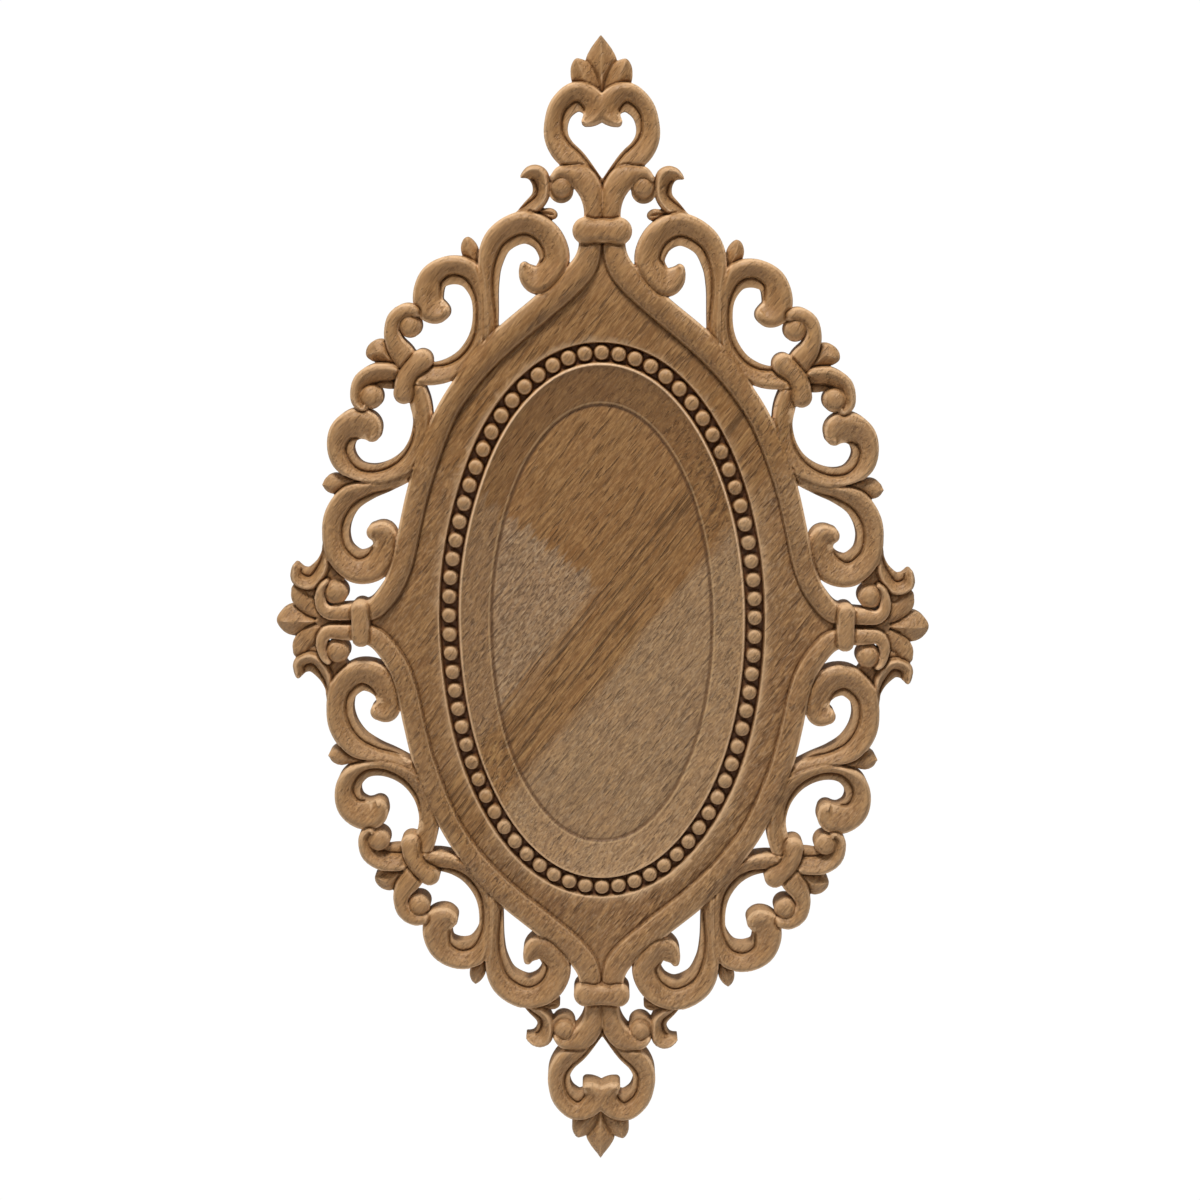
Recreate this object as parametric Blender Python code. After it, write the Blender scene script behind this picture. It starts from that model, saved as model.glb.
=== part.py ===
"""Carved wooden oval medallion applique, one solid.

The back is flat in the plane Y = 0 with the origin at its centre, the carved
face looks to -Y, the long axis is Z and the short axis is X.  The drawing is
kept in drawing units (one unit is UNIT metres); only the right upper quarter
is drawn, and the other three quarters mirror it.
"""
import math

import bpy
import numpy as np
from mathutils import Vector
from mathutils.geometry import delaunay_2d_cdt

for old in list(bpy.data.objects):
    bpy.data.objects.remove(old, do_unlink=True)

# ---------------------------------------------------------------- sizes
HEIGHT = 0.400                 # tip to tip along Z
UNIT = HEIGHT / 1119.5         # metres in one drawing unit
ACROSS = 0.983                 # widths are drawn a little wide; this brings them true
PITCH = 1.0                    # drawing units between samples of the relief
FACE_POINTS = 2560             # points spent on the carved face
OUTLINE_TOLERANCE = 0.72       # drawing units that a side wall may leave its curve

# heights above the back, in millimetres
GROUND = 7.6                   # flat margin between the moulding and the beads
CHANNEL = 4.8                  # floor of the groove that the beads sit in
BEAD_TOP = 8.5
DISH_LIP = 7.7
DISH_FLOOR = 3.6
RIM_CROWN, RIM_EDGE, RIM_FOOT = 10.8, 9.4, 8.5
SCROLL_CROWN, SCROLL_EDGE, SCROLL_GROOVE = 9.9, 7.7, 7.5
BALL_FOOT, BALL_RISE = 7.0, 3.2
CLASP_CROWN, CLASP_EDGE = 11.2, 7.4
COLLAR_CROWN, COLLAR_EDGE = 12.8, 8.8
VEE_WIDE = 2.3                 # drawing units, width of the line cut beside a raised form

# plan, in drawing units
OVAL_POWER = 2.03              # a little fuller than an ellipse
BEAD_RING = (152.7, 266.9)     # half axes of the line through the beads
BEAD_COUNT = 74
BEAD_RADIUS = 8.1
CHANNEL_HALF = 9.9
DISH_EDGE = (142.2, 256.4)
DISH_LINE = (110.4, 218)     # fine incised oval where the slope meets the floor

# Each stroke is a run of gouge work: the centre line passes through these
# stations, given as x, z, half width and the width of the ledge that is cut
# along its hollow side.
STROKES = {
    # the moulding from the top collar round to the side collar
    "rim": [(11, 376, 10.5), (12.5, 360, 11.2), (17, 348, 12), (28, 334.5, 12.2), (58.5, 307.5, 12.2),
            (96, 276.5, 12.2), (117, 255.5, 11.5), (134, 234.5, 10.6), (154.5, 203, 10.3),
            (179.5, 141, 10.7), (190, 100, 10.6), (197.5, 65, 10.3), (204.5, 45, 10.2), (215, 28, 10),
            (226, 16, 9.8), (238, 10.5, 9.8)],
    # large scroll beside the collar
    "scroll_a": [(108.5, 278, 6.5, 0), (108, 300, 6.7, 3), (108.5, 330, 8, 6), (108.5, 350, 11.8, 7),
                 (99, 371, 14, 8.5), (75, 382.5, 15.3, 9.5), (55, 374, 15.3, 7.5), (46, 354, 14.6, 5),
                 (53, 339.5, 13, 1.5), (62.5, 332, 12.6, 0), (68.5, 335.5, 11.2, 0), (73.5, 341.5, 7, 0),
                 (75.5, 346, 4.2, 0)],
    # scroll that comes out of the clasp and rolls outward at its top
    "scroll_b": [(186, 243, 9.5, 2.5), (166, 242.5, 10.3, 3), (149, 247, 10.5, 5.5), (134, 258, 9.7, 6.5),
                 (122, 277, 8.8, 6), (118.5, 298, 7.7, 4.5), (120.5, 320, 8.5, 5), (130, 338.5, 13, 8),
                 (147, 342, 13.6, 9.3), (163.5, 334.5, 13.3, 5), (169.5, 318, 14.4, 2), (168, 307, 14, 0),
                 (162, 303.5, 12.5, 0), (157, 303, 9, 0)],
    # scroll that leaves the clasp downward
    "scroll_c": [(183, 232, 9, 0), (178.5, 216, 10.4, 0), (176.5, 200, 9.6, 1), (181, 178, 9.6, 3.5),
                 (193, 160, 9.7, 5), (210, 150, 8.6, 6), (228, 146.5, 8.3, 7), (243, 149.5, 9, 7.5),
                 (255, 159.5, 11.8, 8), (258.5, 173, 12.7, 7.5), (254, 187, 14.2, 5), (241, 195, 14.8, 0),
                 (231, 193, 13.3, 0), (227, 186.5, 8.7, 0)],
    # large scroll above the side collar
    "scroll_d": [(184, 152, 6, 0), (192, 147.5, 7, 0), (212, 138, 8.2, 2), (231, 131, 9.6, 5),
                 (250, 122, 12.9, 7), (262, 105, 13.5, 7.5), (265, 86, 13, 7.5), (260.5, 68, 14, 7.5),
                 (244, 55, 15.3, 7.5), (225.5, 59, 15.5, 4), (216, 75, 12.3, 0), (217.5, 87.5, 12.2, 0),
                 (226, 90, 8, 0)],
    # curled leaf between the top volute and the large scroll, and the bud below it
    "top_hook": [(82, 393, 3, 0), (70, 400, 7.5, 3), (59.8, 411, 8.2, 5), (58.4, 422, 8.6, 4.5),
                 (61.5, 431, 9.2, 3), (68, 433.5, 6.6, 0), (74.5, 431.5, 3, 0), (77.5, 429.5, 1, 0)],
    "top_bud": [(66, 396, 1.5), (58, 396, 3.8), (50, 395, 5.6), (47.5, 394.5, 4.5)],
    # curled leaf above the side finial, and the web behind it
    "side_hook": [(277, 78, 1.5, 0), (277, 65, 4.6, 2.5), (281.5, 52.5, 8, 5), (292, 42, 10.2, 8),
                  (301.5, 43.5, 9.3, 6), (305, 50, 5.6, 0), (306, 54.5, 3, 0)],
    "side_web": [(272, 58, 3), (263, 46, 6.5), (274, 47, 6.5), (283, 39, 6), (290, 31, 6)],
    # buds in the forks of the scrolls
    "upper_bud": [(123, 347, 2), (126, 354, 6.5), (128.5, 361, 8.2), (130, 367.5, 5.5), (130.5, 372.5, 1.2)],
    "lower_bud": [(244, 140, 4.5), (252, 138.5, 5.5), (259, 137, 7), (266, 135.5, 9.6), (271, 135, 6), (274.5, 135, 2.4),
                  (277, 135, 0.8)],
    # the tied knot of two volutes and a leaf
    "upper_volute": [(188, 250, 9.5), (194, 260, 11.5), (202, 271, 9.5), (205.5, 283, 7.3), (202, 296, 7),
                     (192, 303, 6.8), (182, 303, 5.5)],
    "lower_volute": [(196, 240, 11, 7), (208, 240.5, 12.5, 8), (222, 241, 11.5, 5), (235, 235, 9.5, 2),
                     (240, 225, 7.5, 0), (240, 217, 6.5, 0), (236, 212, 5.5, 0)],
    "knot_leaf": [(200, 252, 2), (208, 257.5, 7), (217, 264, 11.3), (222, 263.5, 9.5), (226, 262, 6)],
    "clasp": [(176, 256, 10.6), (187.5, 245.5, 9.6), (193.5, 234, 9.8), (194.5, 224.5, 10.2)],
    # top finial: open heart, volutes, collar and leaves
    "heart": [(8.5, 421, 11, 2.5), (26, 443.5, 12, 3.5), (38, 455.5, 12, 4), (43.5, 467, 11.6, 5), (43.5, 480, 11.2, 6),
              (38, 494, 12, 8), (24, 504, 13.3, 9), (11, 500, 13, 3), (6, 492, 12, 0), (10, 485, 8, 0),
              (15, 481, 4.5, 0)],
    "top_volute": [(8.5, 386, 9), (8.5, 402, 9.5), (11, 416, 11.5), (19, 428, 12), (30, 433, 8.5),
                   (40, 434, 5.5), (47, 429, 3)],
    "top_collar": [(0, 380, 11), (10, 380, 11.3), (16, 380, 12.6)],
    "top_leaf": [(0, 510, 2), (0, 522, 8), (0, 533, 15.2), (0, 540, 12.8), (0, 547, 8.8), (0, 553, 5), (0, 557.6, 2),
                 (0, 560, 0.5)],
    "top_side_leaf": [(9, 509, 8), (16, 519, 12), (19, 527, 10.6), (21.2, 531.5, 7.4), (22.6, 535.5, 3.8),
                      (23.4, 538.4, 0.8)],
    # side finial: volute, leaves and collar
    "side_volute": [(244, 10.5, 8.5), (256, 10, 8.2), (264, 9.5, 8), (273, 9.5, 7), (280, 15, 6.2),
                    (282, 26, 5), (279, 37, 3.5), (275, 41, 2.5)],
    "side_seam": [(244, 0, 4.5), (268, 0, 4.5), (284, 0, 4)],
    "side_leaf": [(284, 6, 4), (293, 15, 9), (301, 23, 9.8), (304, 31, 7)],
    "side_tip": [(288, 0, 3), (300, 0, 9.5), (308, 0, 15.5), (313.5, 0, 12.6), (318, 0, 8.8), (322, 0, 4.8), (325, 0, 1.6),
                 (326.3, 0, 0.5)],
    "side_collar": [(241.5, 0, 9.4), (241.5, 14, 9.6)],
}
# eyes of the volutes: x, z, radius
EYES = {"top": (39, 420.5, 10.4), "upper": (187.5, 288.8, 10.4), "lower": (227.5, 221, 10.8), "side": (266, 30, 10.8)}


def spline(stations, step=0.5):
    """Smooth run through the stations, all columns together."""
    p = np.array([tuple(s) + (0.0,) * (4 - len(s)) for s in stations], float)
    if len(p) == 2:
        count = max(2, int(np.hypot(*(p[1, :2] - p[0, :2])) / step))
        return p[0] + (p[1] - p[0]) * np.linspace(0, 1, count)[:, None]
    q = np.vstack([2 * p[0] - p[1], p, 2 * p[-1] - p[-2]])
    runs = []
    for i in range(len(p) - 1):
        p0, p1, p2, p3 = q[i:i + 4]
        t1 = max(np.hypot(*(p1[:2] - p0[:2])), 1e-6) ** 0.5
        t2 = t1 + max(np.hypot(*(p2[:2] - p1[:2])), 1e-6) ** 0.5
        t3 = t2 + max(np.hypot(*(p3[:2] - p2[:2])), 1e-6) ** 0.5
        count = max(2, int(np.hypot(*(p2[:2] - p1[:2])) / step))
        t = np.linspace(t1, t2, count, endpoint=(i == len(p) - 2))[:, None]
        a1 = (t1 - t) / t1 * p0 + t / t1 * p1
        a2 = (t2 - t) / (t2 - t1) * p1 + (t - t1) / (t2 - t1) * p2
        a3 = (t3 - t) / (t3 - t2) * p2 + (t - t2) / (t3 - t2) * p3
        b1 = (t2 - t) / t2 * a1 + t / t2 * a2
        b2 = (t3 - t) / (t3 - t1) * a2 + (t - t1) / (t3 - t1) * a3
        runs.append((t2 - t) / (t2 - t1) * b1 + (t - t1) / (t2 - t1) * b2)
    run = np.vstack(runs)
    run[:, 2] = np.maximum(run[:, 2], 0.2)
    run[:, 3] = np.maximum(run[:, 3], 0.0)
    return run


class Sheet:
    """Sampled quarter of the panel: height of the carved face and the outline."""

    def __init__(self, pitch, vee, wide=334.0, high=568.0):
        self.pitch, self.vee = pitch, vee
        self.x = np.arange(int(round(wide / pitch)) + 1) * pitch
        self.z = np.arange(int(round(high / pitch)) + 1) * pitch
        self.X, self.Z = np.meshgrid(self.x, self.z)
        self.height = np.zeros_like(self.X)
        self.out = np.full_like(self.X, 1e3)      # distance outside the wood

    def window(self, x0, x1, z0, z1):
        a = max(0, int(math.floor(x0 / self.pitch)))
        b = max(a, min(len(self.x), int(math.ceil(x1 / self.pitch)) + 1))
        c = max(0, int(math.floor(z0 / self.pitch)))
        d = max(c, min(len(self.z), int(math.ceil(z1 / self.pitch)) + 1))
        return slice(c, d), slice(a, b)

    def sweep(self, run, margin=6.0):
        """Distance to a disc swept along the run, and the nearest station."""
        dist = np.full(self.X.shape, 1e3)
        near = np.zeros(self.X.shape, int)
        for first in range(0, len(run), 16):
            part = run[first:first + 16]
            m = part[:, 2].max() + margin
            win = self.window(part[:, 0].min() - m, part[:, 0].max() + m,
                              part[:, 1].min() - m, part[:, 1].max() + m)
            x, z = self.X[win], self.Z[win]
            if x.size == 0:
                continue
            d = np.sqrt((x[..., None] - part[:, 0]) ** 2 + (z[..., None] - part[:, 1]) ** 2) - part[:, 2]
            best = d.argmin(-1)
            low = np.take_along_axis(d, best[..., None], -1)[..., 0]
            better = low < dist[win]
            dist[win] = np.where(better, low, dist[win])
            near[win] = np.where(better, best + first, near[win])
        return dist, near

    def lay(self, piece, blend=False, cut=1.0):
        """Put a piece on top of what is there, or run it into what is there."""
        dist, high = piece
        beside = (dist >= 0) & (dist < VEE_WIDE) & (self.out < 0)
        self.height = np.where(beside, self.height - cut * self.vee * (1 - dist / VEE_WIDE), self.height)
        self.height = np.where(dist < 0, np.maximum(self.height, high) if blend else high, self.height)
        self.out = np.minimum(self.out, dist)


def ease(t):
    t = np.clip(t, 0, 1)
    return t * t * (3 - 2 * t)


def mirrored(stations, sx, sz):
    return [(s[0] * sx, s[1] * sz) + tuple(s[2:]) for s in stations]


def band(sheet, name, side, crown, edge, groove, copies=(), crest=-0.38, scoop=1.1, bulge=0.25, lift=-0.6, drop=0.35):
    """Band whose rounded crest lies toward its outer side and wraps round its
    end, scooped out behind the crest, with a ledge cut along its hollow side;
    side tells on which hand that ledge lies."""
    result = None
    for sx, sz in ((1, 1),) + tuple(copies):
        run = spline(mirrored(STROKES[name], sx, sz))
        dist, near = sheet.sweep(run)
        along = np.gradient(run[:, :2], axis=0)
        along /= np.maximum(np.hypot(along[:, 0], along[:, 1])[:, None], 1e-9)
        at, way = run[near], along[near]
        dx, dz = sheet.X - at[..., 0], sheet.Z - at[..., 1]
        left = np.where(way[..., 0] * dz - way[..., 1] * dx >= 0, 1, -1)
        ahead = (near == len(run) - 1) & (way[..., 0] * dx + way[..., 1] * dz > 0)
        across = np.hypot(dx, dz) * np.where(ahead, -1, left * side * sx * sz)
        half, ledge = at[..., 2], at[..., 3]
        t = (across + ledge / 2) / (half - ledge / 2)
        outer = np.clip((crest - t) / (1 + crest), 0, 1)
        inward = np.clip((t - crest) / (1 - crest), 0, 1)
        high = np.where(t < crest, edge + (crown - edge) * (1 - outer ** 1.8) ** 0.8,
                        groove + (crown - groove) * (1 - inward) ** scoop * (1 + bulge * inward))
        past = across - (half - ledge)
        shelf = groove + lift - drop * np.clip(past / np.maximum(ledge, 1e-3), 0, 1) ** 1.5
        high = np.where((ledge > 1.0) & (past > 0), shelf, high)
        line = 1 - np.clip(np.abs(past) / (0.85 * VEE_WIDE), 0, 1)
        high = np.where(ledge > 1.0, high - 1.7 * sheet.vee * line * np.clip(ledge - 1.0, 0, 1), high)
        high = np.where(dist < 1.5, high, -99.0)
        result = (dist, high) if result is None else (np.minimum(result[0], dist), np.maximum(result[1], high))
    return result


def strap(sheet, name, crown, edge, copies=(), shape=(2.2, 0.55), cut=None):
    """Evenly rounded strap, keeled leaf or fluted bud."""
    result = None
    for sx, sz in ((1, 1),) + tuple(copies):
        run = spline(mirrored(STROKES[name], sx, sz))
        dist, near = sheet.sweep(run)
        at = run[near]
        u = np.clip(np.hypot(sheet.X - at[..., 0], sheet.Z - at[..., 1]) / at[..., 2], 0, 1)
        if cut == "keel":
            rise = (1 - u) ** 0.8
        else:
            rise = (1 - u ** shape[0]) ** shape[1]
        if cut == "flute":
            rise = rise * (0.45 + 0.55 * ease(u / 0.45))
        high = np.where(dist < 1.5, edge + (crown - edge) * rise, -99.0)
        result = (dist, high) if result is None else (np.minimum(result[0], dist), np.maximum(result[1], high))
    return result


def oval(sheet, half_axes):
    """Signed distance to an oval, negative inside."""
    a, b = half_axes
    n = OVAL_POWER
    x, z = np.maximum(sheet.X, 1e-6) / a, np.maximum(sheet.Z, 1e-6) / b
    s = x ** n + z ** n
    f = s ** (1 / n)
    slope = np.hypot(f / s * x ** (n - 1) / a, f / s * z ** (n - 1) / b)
    return (f - 1) / np.maximum(slope, 1e-9)


def bead_centres():
    t = np.linspace(0, 2 * math.pi, 8001)
    c, s = np.cos(t), np.sin(t)
    x = BEAD_RING[0] * np.sign(c) * np.abs(c) ** (2 / OVAL_POWER)
    z = BEAD_RING[1] * np.sign(s) * np.abs(s) ** (2 / OVAL_POWER)
    # they stand a little closer together round the two ends
    closer = 1 + 0.13 * (z[1:] / BEAD_RING[1]) ** 6
    run = np.concatenate([[0], np.cumsum(np.hypot(np.diff(x), np.diff(z)) * closer)])
    at = (np.arange(BEAD_COUNT) + 0.5) / BEAD_COUNT * run[-1]
    return list(zip(np.interp(at, run, x), np.interp(at, run, z)))


def carve(pitch, vee=0.0):
    """The quarter's relief, from the ground up to the collars; vee is how deep
    the fine lines between the forms are cut, in millimetres."""
    sheet = Sheet(pitch, vee)
    over_x, over_z = ((-1, 1),), ((1, -1),)
    rim = spline(STROKES["rim"])
    inside = (sheet.Z < np.interp(sheet.X, rim[:, 0], rim[:, 1], left=400, right=-5)) & (sheet.X < 238)
    sheet.out = np.where(inside, -5.0, sheet.out)
    sheet.height = np.where(inside, GROUND, 0.0)
    ring = np.abs(oval(sheet, BEAD_RING))
    sheet.height = np.where(inside & (ring < CHANNEL_HALF),
                            CHANNEL + (GROUND - CHANNEL) * ease((ring - CHANNEL_HALF + 1.6) / 1.6), sheet.height)
    lip, line = oval(sheet, DISH_EDGE), oval(sheet, DISH_LINE)
    down = np.clip(-lip / np.maximum(np.maximum(line, 0) - lip, 1e-6), 0, 1)
    hollow = DISH_LIP - (DISH_LIP - DISH_FLOOR - 0.25) * down ** 0.85
    hollow = hollow + 0.3 * (1 - np.clip(np.abs(lip + 1.6) / 1.8, 0, 1) ** 2)
    sheet.height = np.where(inside & (lip < 0), hollow, sheet.height)
    sheet.height = np.where(inside & (line < 0), DISH_FLOOR, sheet.height)
    sheet.height = np.where(inside & (np.abs(line) < 1.2), sheet.height - 0.35 * (1 - np.abs(line) / 1.2), sheet.height)
    for x, z in bead_centres():
        if x > -9 and z > -9:
            win = sheet.window(x - 9, x + 9, z - 9, z + 9)
            u = np.hypot(sheet.X[win] - x, sheet.Z[win] - z) / BEAD_RADIUS
            dome = CHANNEL + (BEAD_TOP - CHANNEL) * np.sqrt(np.clip(1 - u ** 3, 0, 1))
            sheet.height[win] = np.where(u < 1, np.maximum(sheet.height[win], dome), sheet.height[win])
    sheet.lay(strap(sheet, "top_leaf", 7.6, 4.6, over_x, cut="keel"))
    sheet.lay(strap(sheet, "top_side_leaf", 7.6, 4.8, over_x, cut="keel"))
    sheet.lay(strap(sheet, "side_tip", 7.6, 4.2, over_z, cut="keel"))
    sheet.lay(strap(sheet, "side_leaf", 7.0, 5.2, over_z))
    sheet.lay(strap(sheet, "side_web", 6.0, 5.2))
    sheet.lay(strap(sheet, "upper_bud", 7.2, 4.8, cut="keel"))
    sheet.lay(strap(sheet, "lower_bud", 7.4, 4.8, shape=(2.0, 0.6)))
    sheet.lay(strap(sheet, "top_bud", 7.0, 4.8, cut="flute"))
    sheet.lay(band(sheet, "top_hook", -1, 8.6, 5.4, 5.6))
    sheet.lay(band(sheet, "side_hook", 1, 8.6, 5.4, 5.6))
    sheet.lay(band(sheet, "heart", 1, 9.6, 7.6, 7.4, over_x))
    sheet.lay(strap(sheet, "knot_leaf", 7.8, 5.0, cut="keel"))
    for name, side in (("scroll_d", -1), ("scroll_c", 1), ("scroll_b", -1), ("scroll_a", 1)):
        sheet.lay(band(sheet, name, side, SCROLL_CROWN, SCROLL_EDGE, SCROLL_GROOVE), blend=True)
    sheet.lay(band(sheet, "rim", -1, RIM_CROWN, RIM_EDGE, RIM_FOOT, over_x + over_z, crest=-0.3,
                   scoop=0.7, bulge=1.1), blend=True, cut=0.6)
    # the curl of the topmost scroll laps over the edge of the moulding
    curl, high = band(sheet, "scroll_a", 1, SCROLL_CROWN, SCROLL_EDGE, SCROLL_GROOVE)
    lap = (sheet.X < 72) & (sheet.Z > 318)
    sheet.lay((np.where(lap, curl + 0.8, 99.0), high + 0.9 * ease((66 - sheet.X) / 14)))
    sheet.lay(band(sheet, "lower_volute", -1, 9.8, 7.4, 6.2))
    sheet.lay(strap(sheet, "upper_volute", 10.0, 7.2))
    sheet.lay(strap(sheet, "top_volute", 10.2, 7.2, over_x))
    sheet.lay(strap(sheet, "side_seam", 6.4, 6.2))
    sheet.lay(strap(sheet, "side_volute", 10.0, 7.2, over_z))
    sheet.lay((np.hypot(sheet.X - 39.5, sheet.Z - 417) - 11.8, np.full(sheet.X.shape, BALL_FOOT)), blend=True, cut=0)
    for x, z, radius in EYES.values():
        far = np.hypot(sheet.X - x, sheet.Z - z)
        sheet.lay((far - radius - 1.2, np.full(far.shape, BALL_FOOT)), blend=True, cut=0)
        sheet.lay((far - radius, BALL_FOOT + BALL_RISE * (1 - np.clip(far / radius, 0, 1) ** 2.6) ** 0.6),
                  blend=True, cut=0.35)
    sheet.lay(strap(sheet, "clasp", CLASP_CROWN, CLASP_EDGE))
    sheet.lay(strap(sheet, "side_collar", COLLAR_CROWN, COLLAR_EDGE, over_z, shape=(3.0, 0.5)))
    sheet.lay(strap(sheet, "top_collar", COLLAR_CROWN, COLLAR_EDGE, over_x, shape=(3.0, 0.5)))
    return sheet


def unfold(quarter):
    """Mirror a quarter sheet into the whole panel, rows from -Z up to +Z."""
    upper = np.concatenate([quarter[:, :0:-1], quarter], axis=1)
    return np.concatenate([upper[:0:-1], upper], axis=0)


def blur(a, sigma):
    r = int(math.ceil(3 * sigma))
    k = np.exp(-0.5 * (np.arange(-r, r + 1) / sigma) ** 2)
    k /= k.sum()
    for axis in (0, 1):
        pad = [(r, r) if i == axis else (0, 0) for i in (0, 1)]
        b = np.pad(a, pad, mode="edge")
        a = sum(w * np.take(b, np.arange(i, i + a.shape[axis]), axis=axis) for i, w in enumerate(k))
    return a


def sample(a, x, z, x0, z0, pitch):
    """Bilinear value of a sheet at points."""
    fx = np.clip((np.asarray(x) - x0) / pitch, 0, a.shape[1] - 1.001)
    fz = np.clip((np.asarray(z) - z0) / pitch, 0, a.shape[0] - 1.001)
    i, j = fx.astype(int), fz.astype(int)
    u, v = fx - i, fz - j
    return (a[j, i] * (1 - u) * (1 - v) + a[j, i + 1] * u * (1 - v)
            + a[j + 1, i] * (1 - u) * v + a[j + 1, i + 1] * u * v)


def outlines(out, x0, z0, pitch):
    """Closed loops where the outline field changes sign, wood on the left."""
    inside = out < 0
    links = {}

    def crossing(j, i, horizontal):
        a = out[j, i]
        b = out[j, i + 1] if horizontal else out[j + 1, i]
        t = a / (a - b)
        return (x0 + (i + (t if horizontal else 0)) * pitch, z0 + (j + (0 if horizontal else t)) * pitch)

    mixed = inside[:-1, :-1].astype(int) + inside[:-1, 1:] + inside[1:, :-1] + inside[1:, 1:]
    for j, i in zip(*np.nonzero((mixed > 0) & (mixed < 4))):
        a, b, c, d = inside[j, i], inside[j, i + 1], inside[j + 1, i + 1], inside[j + 1, i]
        south, east, north, west = (j, i, 1), (j, i + 1, 0), (j + 1, i, 1), (j, i, 0)
        code = a * 1 + b * 2 + c * 4 + d * 8
        pairs = {1: [(west, south)], 2: [(south, east)], 3: [(west, east)], 4: [(east, north)],
                 6: [(south, north)], 7: [(west, north)], 8: [(north, west)], 9: [(north, south)],
                 11: [(north, east)], 12: [(east, west)], 13: [(east, south)], 14: [(south, west)],
                 5: [(west, north), (east, south)], 10: [(south, west), (north, east)]}[code]
        for start, end in pairs:
            links[end] = start
    loops = []
    while links:
        first = next(iter(links))
        key, loop = first, []
        while key in links:
            loop.append(key)
            key = links.pop(key)
        loops.append([crossing(*k) for k in loop])
    return loops


def thin(loop, tolerance):
    """Keep the fewest points of a closed loop that stay within the tolerance."""
    p = np.array(loop)
    far = int(np.argmax(np.hypot(*(p - p[0]).T)))
    keep = {0, far}
    stack = [(0, far), (far, len(p))]
    q = np.vstack([p, p[:1]])
    while stack:
        a, b = stack.pop()
        if b - a < 2:
            continue
        d = q[b] - q[a]
        n = max(np.hypot(*d), 1e-9)
        off = np.abs((q[a + 1:b, 0] - q[a, 0]) * d[1] - (q[a + 1:b, 1] - q[a, 1]) * d[0]) / n
        k = int(np.argmax(off))
        if off[k] > tolerance or n > 26:
            k = k + a + 1 if off[k] > tolerance else (a + b) // 2
            keep.add(k)
            stack += [(a, k), (k, b)]
    return p[sorted(keep)]


def triangulate(points, borders):
    """Triangles between the border loops, outer side and holes left out."""
    verts = [Vector((float(x), float(z))) for x, z in points]
    got = delaunay_2d_cdt(verts, borders, [], 0, 1e-6, True)
    coords, edges, faces, orig = got[0], got[1], got[2], got[3]
    if len(coords) != len(points):
        raise RuntimeError("outline crosses itself")
    back = [o[0] for o in orig]
    tris = [tuple(back[v] for v in f) for f in faces]
    fence = {frozenset(e) for e in borders}
    beside = {}
    for n, f in enumerate(tris):
        for a, b in zip(f, f[1:] + f[:1]):
            beside.setdefault(frozenset((a, b)), []).append(n)
    state = [None] * len(tris)
    todo = []
    for e, owners in beside.items():
        if len(owners) == 1 and state[owners[0]] is None:
            state[owners[0]] = e in fence
            todo.append(owners[0])
            break
    while todo:
        n = todo.pop()
        f = tris[n]
        for a, b in zip(f, f[1:] + f[:1]):
            e = frozenset((a, b))
            for m in beside[e]:
                if state[m] is None:
                    state[m] = state[n] != (e in fence)
                    todo.append(m)
    kept = []
    for n, f in enumerate(tris):
        if state[n]:
            (ax, az), (bx, bz), (cx, cz) = (points[v] for v in f)
            kept.append(f if (bx - ax) * (cz - az) - (cx - ax) * (bz - az) > 0 else (f[0], f[2], f[1]))
    return kept


def ring_run(half_axes, count, start=0.0):
    """Evenly spaced points round an oval, for the turned features."""
    t = np.linspace(0, 2 * math.pi, 4001)
    c, s = np.cos(t), np.sin(t)
    x = half_axes[0] * np.sign(c) * np.abs(c) ** (2 / OVAL_POWER)
    z = half_axes[1] * np.sign(s) * np.abs(s) ** (2 / OVAL_POWER)
    run = np.concatenate([[0], np.cumsum(np.hypot(np.diff(x), np.diff(z)))])
    at = ((np.arange(count) + start) / count % 1.0) * run[-1]
    return list(zip(np.interp(at, run, x), np.interp(at, run, z)))


def turned_features():
    """Points that the oval mouldings and the beads need: x, z, height."""
    marks = []
    centres = bead_centres()
    for n, (x, z) in enumerate(centres):
        marks.append((x, z, BEAD_TOP))
        nx, nz = centres[(n + 1) % len(centres)]
        turn = math.atan2(nz - z, nx - x)
        for k in range(6):
            a = turn + (k + 0.5) * math.pi / 3
            marks.append((x + 7.0 * math.cos(a), z + 7.0 * math.sin(a), CHANNEL + 1.0))
    a, b = BEAD_RING
    grow = CHANNEL_HALF + 0.4
    marks += [(x, z, GROUND) for x, z in ring_run((a + grow, b + grow), BEAD_COUNT, 0.0)]
    marks += [(x, z, DISH_LIP) for x, z in ring_run(DISH_EDGE, BEAD_COUNT, 0.0)]
    marks += [(x, z, DISH_FLOOR) for x, z in ring_run(DISH_LINE, 48)]
    marks += [(x, z, DISH_FLOOR) for x, z in ring_run((DISH_LINE[0] * 0.55, DISH_LINE[1] * 0.6), 16)]
    rim = spline(STROKES["rim"], 1.0)
    way = np.gradient(rim[:, :2], axis=0)
    way /= np.hypot(way[:, 0], way[:, 1])[:, None]
    for k in list(range(34, len(rim) - 14, 17)):
        x = rim[k, 0] + way[k, 1] * (rim[k, 2] + 0.5)
        z = rim[k, 1] - way[k, 0] * (rim[k, 2] + 0.5)
        marks += [(x * sx, z * sz, GROUND) for sx in (1, -1) for sz in (1, -1)]
    return marks


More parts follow.
